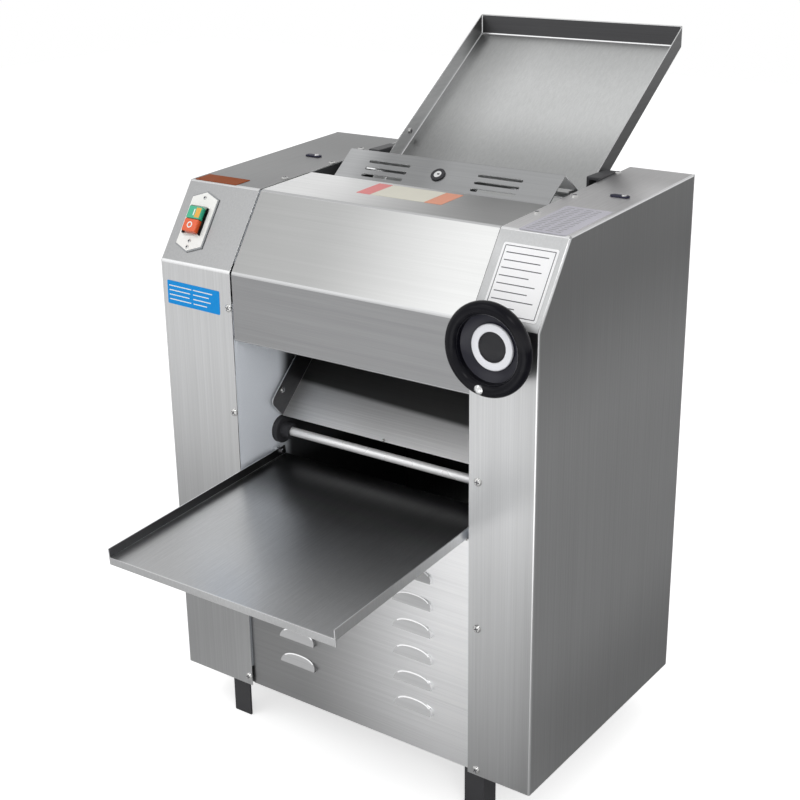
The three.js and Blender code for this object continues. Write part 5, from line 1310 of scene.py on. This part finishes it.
@dataclass
class Trays(Assembly):
    """The receiving tray and the feed tray with what holds them."""

    feed_bolt: Pair = (58.0, 12.0)
    least_wall_area: float = 900.0

    def build(self) -> None:
        """Builds and dresses both trays."""
        self._receiving_tray()
        self._feed_tray()
        self.coat(["left_tray_pin", "right_tray_pin"], BRIGHT_STEEL)
        for node in ("left_feed_bracket", "right_feed_bracket"):
            self.refold(node, BLACK_PAINT, "black_paint", Folding(1.5, 1.0, 0.3), "folded")
        self.screw("feed_tray_bolt_1", PanHead(4.6, 2.4, 1.2), FEED_LEFT_WALL.matrix(*self.feed_bolt))

    @staticmethod
    def _left(face: BMFace) -> bool:
        """Whether a face lies left of the opening's middle."""
        return face.calc_center_median().x < casing(OPENING_MIDDLE, 0, 0).x

    def _receiving_tray(self) -> None:
        """The receiving tray, its left wall painted dark as shade and its right wall painted bright as
        highlight.
        """
        tray = Folding(1.6, 0.8, 0.3).sheet("receiving_tray")
        edge_strips(tray, 2)
        for face in tray.faces:
            if abs(face.normal.x) > 0.9 and face.calc_area() > self.least_wall_area * MM * MM:
                face.material_index = 1 if self._left(face) else 2
        self.sheet("receiving_tray", tray, TRAY_STEEL, FLANGE_STEEL, HIGHLIGHT_STEEL)

    def _feed_tray(self) -> None:
        """The feed tray, its upright end wall and its right wall painted darker as shade, its left wall
        painted bright as light.
        """
        tray = painted(Folding(2.4, 1.2, 0.3).sheet("feed_tray"), 1, lambda face: face.normal.y < -0.9)
        for face in filter(lambda face: face.normal.x > 0.9, tray.faces):
            face.material_index = 3 if self._left(face) else 4
        edge_strips(tray, 2)
        self.sheet(
            "feed_tray", tray, FEED_STEEL, FEED_END_STEEL, HIGHLIGHT_STEEL, FEED_WALL_STEEL, FEED_SIDE_STEEL)


def lying(seat: Vector, way: int = 1) -> Matrix:
    """Lays a piece turned about Z, in millimetres, along X from its seat; to the left where way is -1."""
    turn = Matrix.Rotation(math.radians(90 * way), 4, "Y")
    return Matrix.Translation(seat) @ turn @ Matrix.Scale(MM, 4)


@dataclass
class RollerSpace(Assembly):
    """What shows between the columns: side plates, rollers, scrapers, chute and guide roller."""

    flange_screw: Pair = (26.0, 26.0)
    lip_pin: Pair = (12.0, 1.2)
    flange_top: float = 30.0
    flange_tip: float = 8.0
    tip_round: float = 9.0

    def build(self) -> None:
        """Builds and dresses the space between the columns."""
        # The enamel's ramps are painted shade inside the press
        self.coat(["left_side_plate", "right_side_plate"], INNER_ENAMEL)
        for node in ("rear_roller", "front_roller"):
            self.refold(node, BRIGHT_STEEL, "polished_steel", Folding(0.6, 0.4, 0.0), "polished")
        self._chute()
        for node, outer, rim in (
                ("front_scraper", 0.5, 0.15), ("rear_scraper", 0.5, 0.15), ("upper_tie_bar", 0.6, 0.3)):
            self.refold(node, PLATE_STEEL, "plate_steel", Folding(outer, 0.4, rim), "ground")
        self._guide_roller()

    def _chute(self) -> None:
        """The chute, its flanges' lower ends rounded, with a screw and a small pin."""
        chute = merged_copy("discharge_chute")
        flat = CHUTE.matrix(0, 0).inverted()

        def tip(edge: BMEdge) -> bool:
            """Whether an edge is the lower outer corner of a flange."""
            one, other = (flat @ vert.co for vert in edge.verts)
            high = min(one.z, other.z) > self.flange_top
            return high and max(one.y, other.y) < self.flange_tip and abs(one.x - other.x) > 1

        soften(chute, tip, self.tip_round * MM, 7)
        # The flanges take the dark copy, painted shade, and the cut edges the painted highlight; the chute's
        # steel carries the painted shadow band under the hood
        painted(Folding(1.2, 0.6, 0.25).apply(chute), 1, lambda face: abs(face.normal.x) > 0.97)
        edge_strips(chute, 2)
        self.sheet("discharge_chute", chute, CHUTE_STEEL, FLANGE_STEEL, HIGHLIGHT_STEEL)
        self.screw("chute_screw", PanHead(4.2, 2.2, 1.0), CHUTE_LEFT_WALL.matrix(*self.flange_screw))
        pin = turned([(0, 2.4), (1.6, 2.0), (2.2, 1.0), (2.2, 0.0), (0, 0.0)], False, 20)
        place = CHUTE.matrix(*self.lip_pin, 0.2)
        self.hand_over("chute_pin", pin, [SCREW_STEEL], "polished_steel", at=place)

    def _guide_roller(self) -> None:
        """The guide roller and its flanged bushes, turned afresh."""
        low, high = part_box("guide_roller")
        half, radius = (high.x - low.x) / 2 / MM, (high.z - low.z) / 2 / MM
        rod = turned([
            (0, half), (radius - 1, half), (radius, half - 1), (radius, 1 - half), (radius - 1, -half),
            (0, -half)], False, 48)
        self.hand_over(
            "guide_rod", rod, [ROLLER_SATIN], "polished_steel", "guide_roller", at=lying((low + high) / 2))
        for side, out in (("left", 1), ("right", -1)):
            low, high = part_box(f"{side}_guide_bush")
            seat = Vector((low.x if out > 0 else high.x, (low.y + high.y) / 2, (low.z + high.z) / 2))
            bush = turned([
                (0, 0), (19, 0), (19, 8), (11, 8), (11, 21), (6.4, 21), (6.4, 2), (0, 2)], False, 56)
            soften(bush, ring_at(19, 8), 2.2, 4)
            soften(bush, ring_at(11, 21), 1.0)
            self.hand_over(
                f"{side}_roller_bush", bush, [BLACK_NYLON], "black_nylon", f"{side}_guide_bush",
                at=lying(seat, out))


@dataclass
class Stand(Assembly):
    """Black angle legs, rails and the motor plate."""

    black: tuple[str, ...] = (
        "front_rail", "rear_rail", "front_left_leg", "front_right_leg", "rear_left_leg", "rear_right_leg",
        "motor_plate")

    def build(self) -> None:
        """Builds and dresses the stand."""
        for node in self.black:
            self.refold(node, BLACK_PAINT, "black_paint", Folding(0.8, 1.5, 0.4), "painted")


@dataclass
class DriveTrain(Assembly):
    """What is inside the columns and under the rollers."""

    coats: tuple[tuple[Finish, tuple[str, ...]], ...] = (
        (GEAR_STEEL, (
            "final_drive_gear", "rear_roller_gear", "front_roller_gear", "countershaft", "sync_chain")),
        (CAST_IRON, (
            "motor", "motor_pulley", "driven_pulley", "countershaft_bearing", "rear_left_bearing",
            "rear_right_bearing", "left_bearing_block", "right_bearing_block")),
        (BRIGHT_STEEL, ("motor_shaft", "left_adjusting_screw", "right_adjusting_screw")),
        (BELT_RUBBER, ("drive_belt",)),
        (BLACK_NYLON, ("cable_gland",)),
    )

    def build(self) -> None:
        """Dresses the drive."""
        for finish, nodes in self.coats:
            self.coat(nodes, finish)


# Camera, light and backdrop

def heading(azimuth_deg: float, elevation_deg: float) -> Vector:
    """A direction: azimuth from the front towards the left, elevation above the level."""
    turn, rise = math.radians(azimuth_deg), math.radians(elevation_deg)
    return Vector((-math.sin(turn) * math.cos(rise), -math.cos(turn) * math.cos(rise), math.sin(rise)))


@dataclass(frozen=True)
class Viewpoint:
    """The photograph's camera: its place in casing millimetres, its heading and roll in degrees."""

    place_mm: tuple[float, float, float] = (1059.945, -1324.452, 1106.539)
    azimuth_deg: float = -35.971
    elevation_deg: float = 20.636
    roll_deg: float = -0.781
    lens_mm: float = 65.297
    sensor_mm: float = 36.0

    def build(self) -> None:
        """Makes the camera and sets it as the scene's own."""
        back = heading(self.azimuth_deg, self.elevation_deg)
        right = (-back).cross(Vector((0, 0, 1))).normalized()
        basis = Matrix((right, right.cross(-back), back)).transposed()
        roll = Matrix.Rotation(math.radians(self.roll_deg), 3, "Z")
        data = bpy.data.cameras.new("view")
        data.lens = self.lens_mm
        data.sensor_width = self.sensor_mm
        data.clip_start = 0.05
        camera = linked("view", data)
        camera.matrix_world = Matrix.Translation(casing(*self.place_mm)) @ (basis @ roll).to_4x4()
        bpy.context.scene.camera = camera


@dataclass(frozen=True)
class Glow:
    """A soft bright patch of the studio walls, as polished steel sees it."""

    azimuth_deg: float
    elevation_deg: float
    strength: float
    inner_deg: float
    outer_deg: float


@dataclass
class Studio:
    """Soft light, white floor and backdrop, and the studio walls that the steel reflects."""

    heights: tuple[Pair, ...] = (
        (-1.0, 0.5), (-0.05, 0.8), (0.1, 0.9), (0.27, 0.85), (0.5, 0.6), (0.65, 0.6), (0.8, 0.66),
        (1.0, 0.75))
    glows: tuple[Glow, ...] = (
        Glow(41, 43, 0.9, 3, 18), Glow(113, 58, 0.3, 4, 22), Glow(30, 22, 0.6, 10, 25),
        Glow(-18, 40, 8.0, 3, 7))
    darkest: float = 0.03
    ambient: float = 0.72
    # Painted light and shade on the floor as the steel sees it: darker near the press, behind it to the
    # right and off to its left, brighter far in front
    floor_light_and_shade: tuple[PaintedLight, ...] = (
        PaintedLight(0.95, 0.3, x=(-300, 500), y=(-300, 300)), PaintedLight(0.7, 1.6, y=(-400, -1250)),
        PaintedLight(0.6, 1.0, x=(-450, -50)))
    floor_size: float = 6.0
    floor_tone: float = 0.8
    floor_glow: float = 0.62
    floor_shine: float = 0.25
    lamps: tuple[tuple[str, Pair, float, float, float], ...] = (
        ("key", (28, 48), 2.4, 1.2, 9.0), ("fill", (-45, 15), 2.6, 1.4, 18.0))
    aim: tuple[float, float, float] = (0, 0, 0.5)

    def build(self) -> None:
        """Makes the whole studio."""
        bpy.context.scene.view_settings.view_transform = "Standard"
        self._world()
        self._floor()
        for name, way, distance, size, power in self.lamps:
            self._lamp(name, heading(*way) * distance, size, power)

    def _lamp(self, name: str, place: Vector, size: float, power: float) -> None:
        """One square soft lamp aimed at the press.

        Args:
            name: Its name.
            place: Its place from where it aims, in metres.
            size: Its side, in metres.
            power: Its power, in watts.
        """
        data = bpy.data.lights.new(name, "AREA")
        data.size = size
        data.energy = power
        lamp = linked(name, data)
        lamp.visible_glossy = False
        lamp.location = Vector(self.aim) + place
        lamp.rotation_euler = (-place).to_track_quat("-Z", "Y").to_euler()

    def _world(self) -> None:
        """White behind the press, an even level for matt surfaces, and walls for the steel."""
        world = bpy.data.worlds.new("studio")
        bpy.context.scene.world = world
        wiring = Wiring.of(world)
        path = wiring.add("LightPath").outputs
        walls = wiring.add("Background", self._walls(wiring, wiring.add("TexCoord").outputs["Generated"]))
        even = wiring.add("Background", WHITE, self.ambient)
        white = wiring.add("Background", WHITE, 1.0)
        seen = wiring.math("MAXIMUM", path["Is Camera Ray"], path["Is Transmission Ray"])
        unseen = wiring.add("MixShader", path["Is Glossy Ray"], even, walls)
        wiring.add("OutputWorld", wiring.add("MixShader", seen, unseen, white))

    def _walls(self, wiring: Wiring, direction: NodeSocket) -> NodeSocket:
        """The brightness of the studio walls in each direction.

        Args:
            wiring: The world's wiring.
            direction: The direction looked in.

        Returns:
            The brightness.
        """
        height = wiring.add("SeparateXYZ", direction).outputs["Z"]
        ramp = wiring.add("ValToRGB", wiring.spread(height, 0.0, 1.0, -1.0, 1.0))
        ramp.color_ramp.interpolation = "EASE"
        stops = ramp.color_ramp.elements
        while len(stops) < len(self.heights):
            stops.new(0.5)
        for stop, (level, value) in zip(stops, self.heights):
            stop.position = (level + 1) / 2
            stop.color = (value, value, value, 1)
        total = ramp.outputs["Color"]
        for glow in self.glows:
            facing = wiring.dot(direction, heading(glow.azimuth_deg, glow.elevation_deg))
            outer, inner = (math.cos(math.radians(angle)) for angle in (glow.outer_deg, glow.inner_deg))
            added = wiring.spread(facing, 0.0, glow.strength, outer, inner, smooth=True)
            total = wiring.math("ADD", total, added)
        return wiring.math("MAXIMUM", total, self.darkest)

    def _floor(self) -> None:
        """A white floor that keeps a faint shadow, and that the steel sees with painted light and shade and
        a faint glow.
        """
        mesh = bmesh.new()
        bmesh.ops.create_grid(mesh, x_segments=1, y_segments=1, size=self.floor_size)
        data = bpy.data.meshes.new("studio_floor")
        mesh.to_mesh(data)
        mesh.free()
        floor = linked("studio_floor", data)
        material = bpy.data.materials.new("studio_floor")
        data.materials.append(material)
        wiring = Wiring.of(material)
        path = wiring.add("LightPath").outputs
        coords = wiring.add("TexCoord").outputs["Object"]
        tone = self.floor_tone
        matt = wiring.add("BsdfDiffuse", (tone, tone, tone, 1))
        lit = wiring.add("AddShader", matt, wiring.add("Emission", WHITE, self.floor_glow))
        level, *others = (floor_ramp.level(wiring, coords) for floor_ramp in self.floor_light_and_shade)
        for other in others:
            level = wiring.math("MULTIPLY", level, other)
        mirrored = wiring.add(
            "AddShader", wiring.add("BsdfDiffuse", level), wiring.add("Emission", level, self.floor_shine))
        seen = wiring.add("MixShader", path["Is Camera Ray"], matt, lit)
        wiring.add("OutputMaterial", wiring.add("MixShader", path["Is Glossy Ray"], seen, mirrored))


def main() -> None:
    """Builds the camera, the press and the studio, and notes the sizes."""
    logging.basicConfig(level=logging.INFO, format="%(name)s: %(message)s")
    Viewpoint().build()
    for kind in (
            ColumnCasings, HoodAndPanel, Handwheel, SwitchSet, FingerGuard, Trays, RollerSpace, Stand,
            DriveTrain):
        kind().build()
        LOG.info("%s done", kind.__name__)
    Studio().build()


if __name__ == "__main__":
    main()
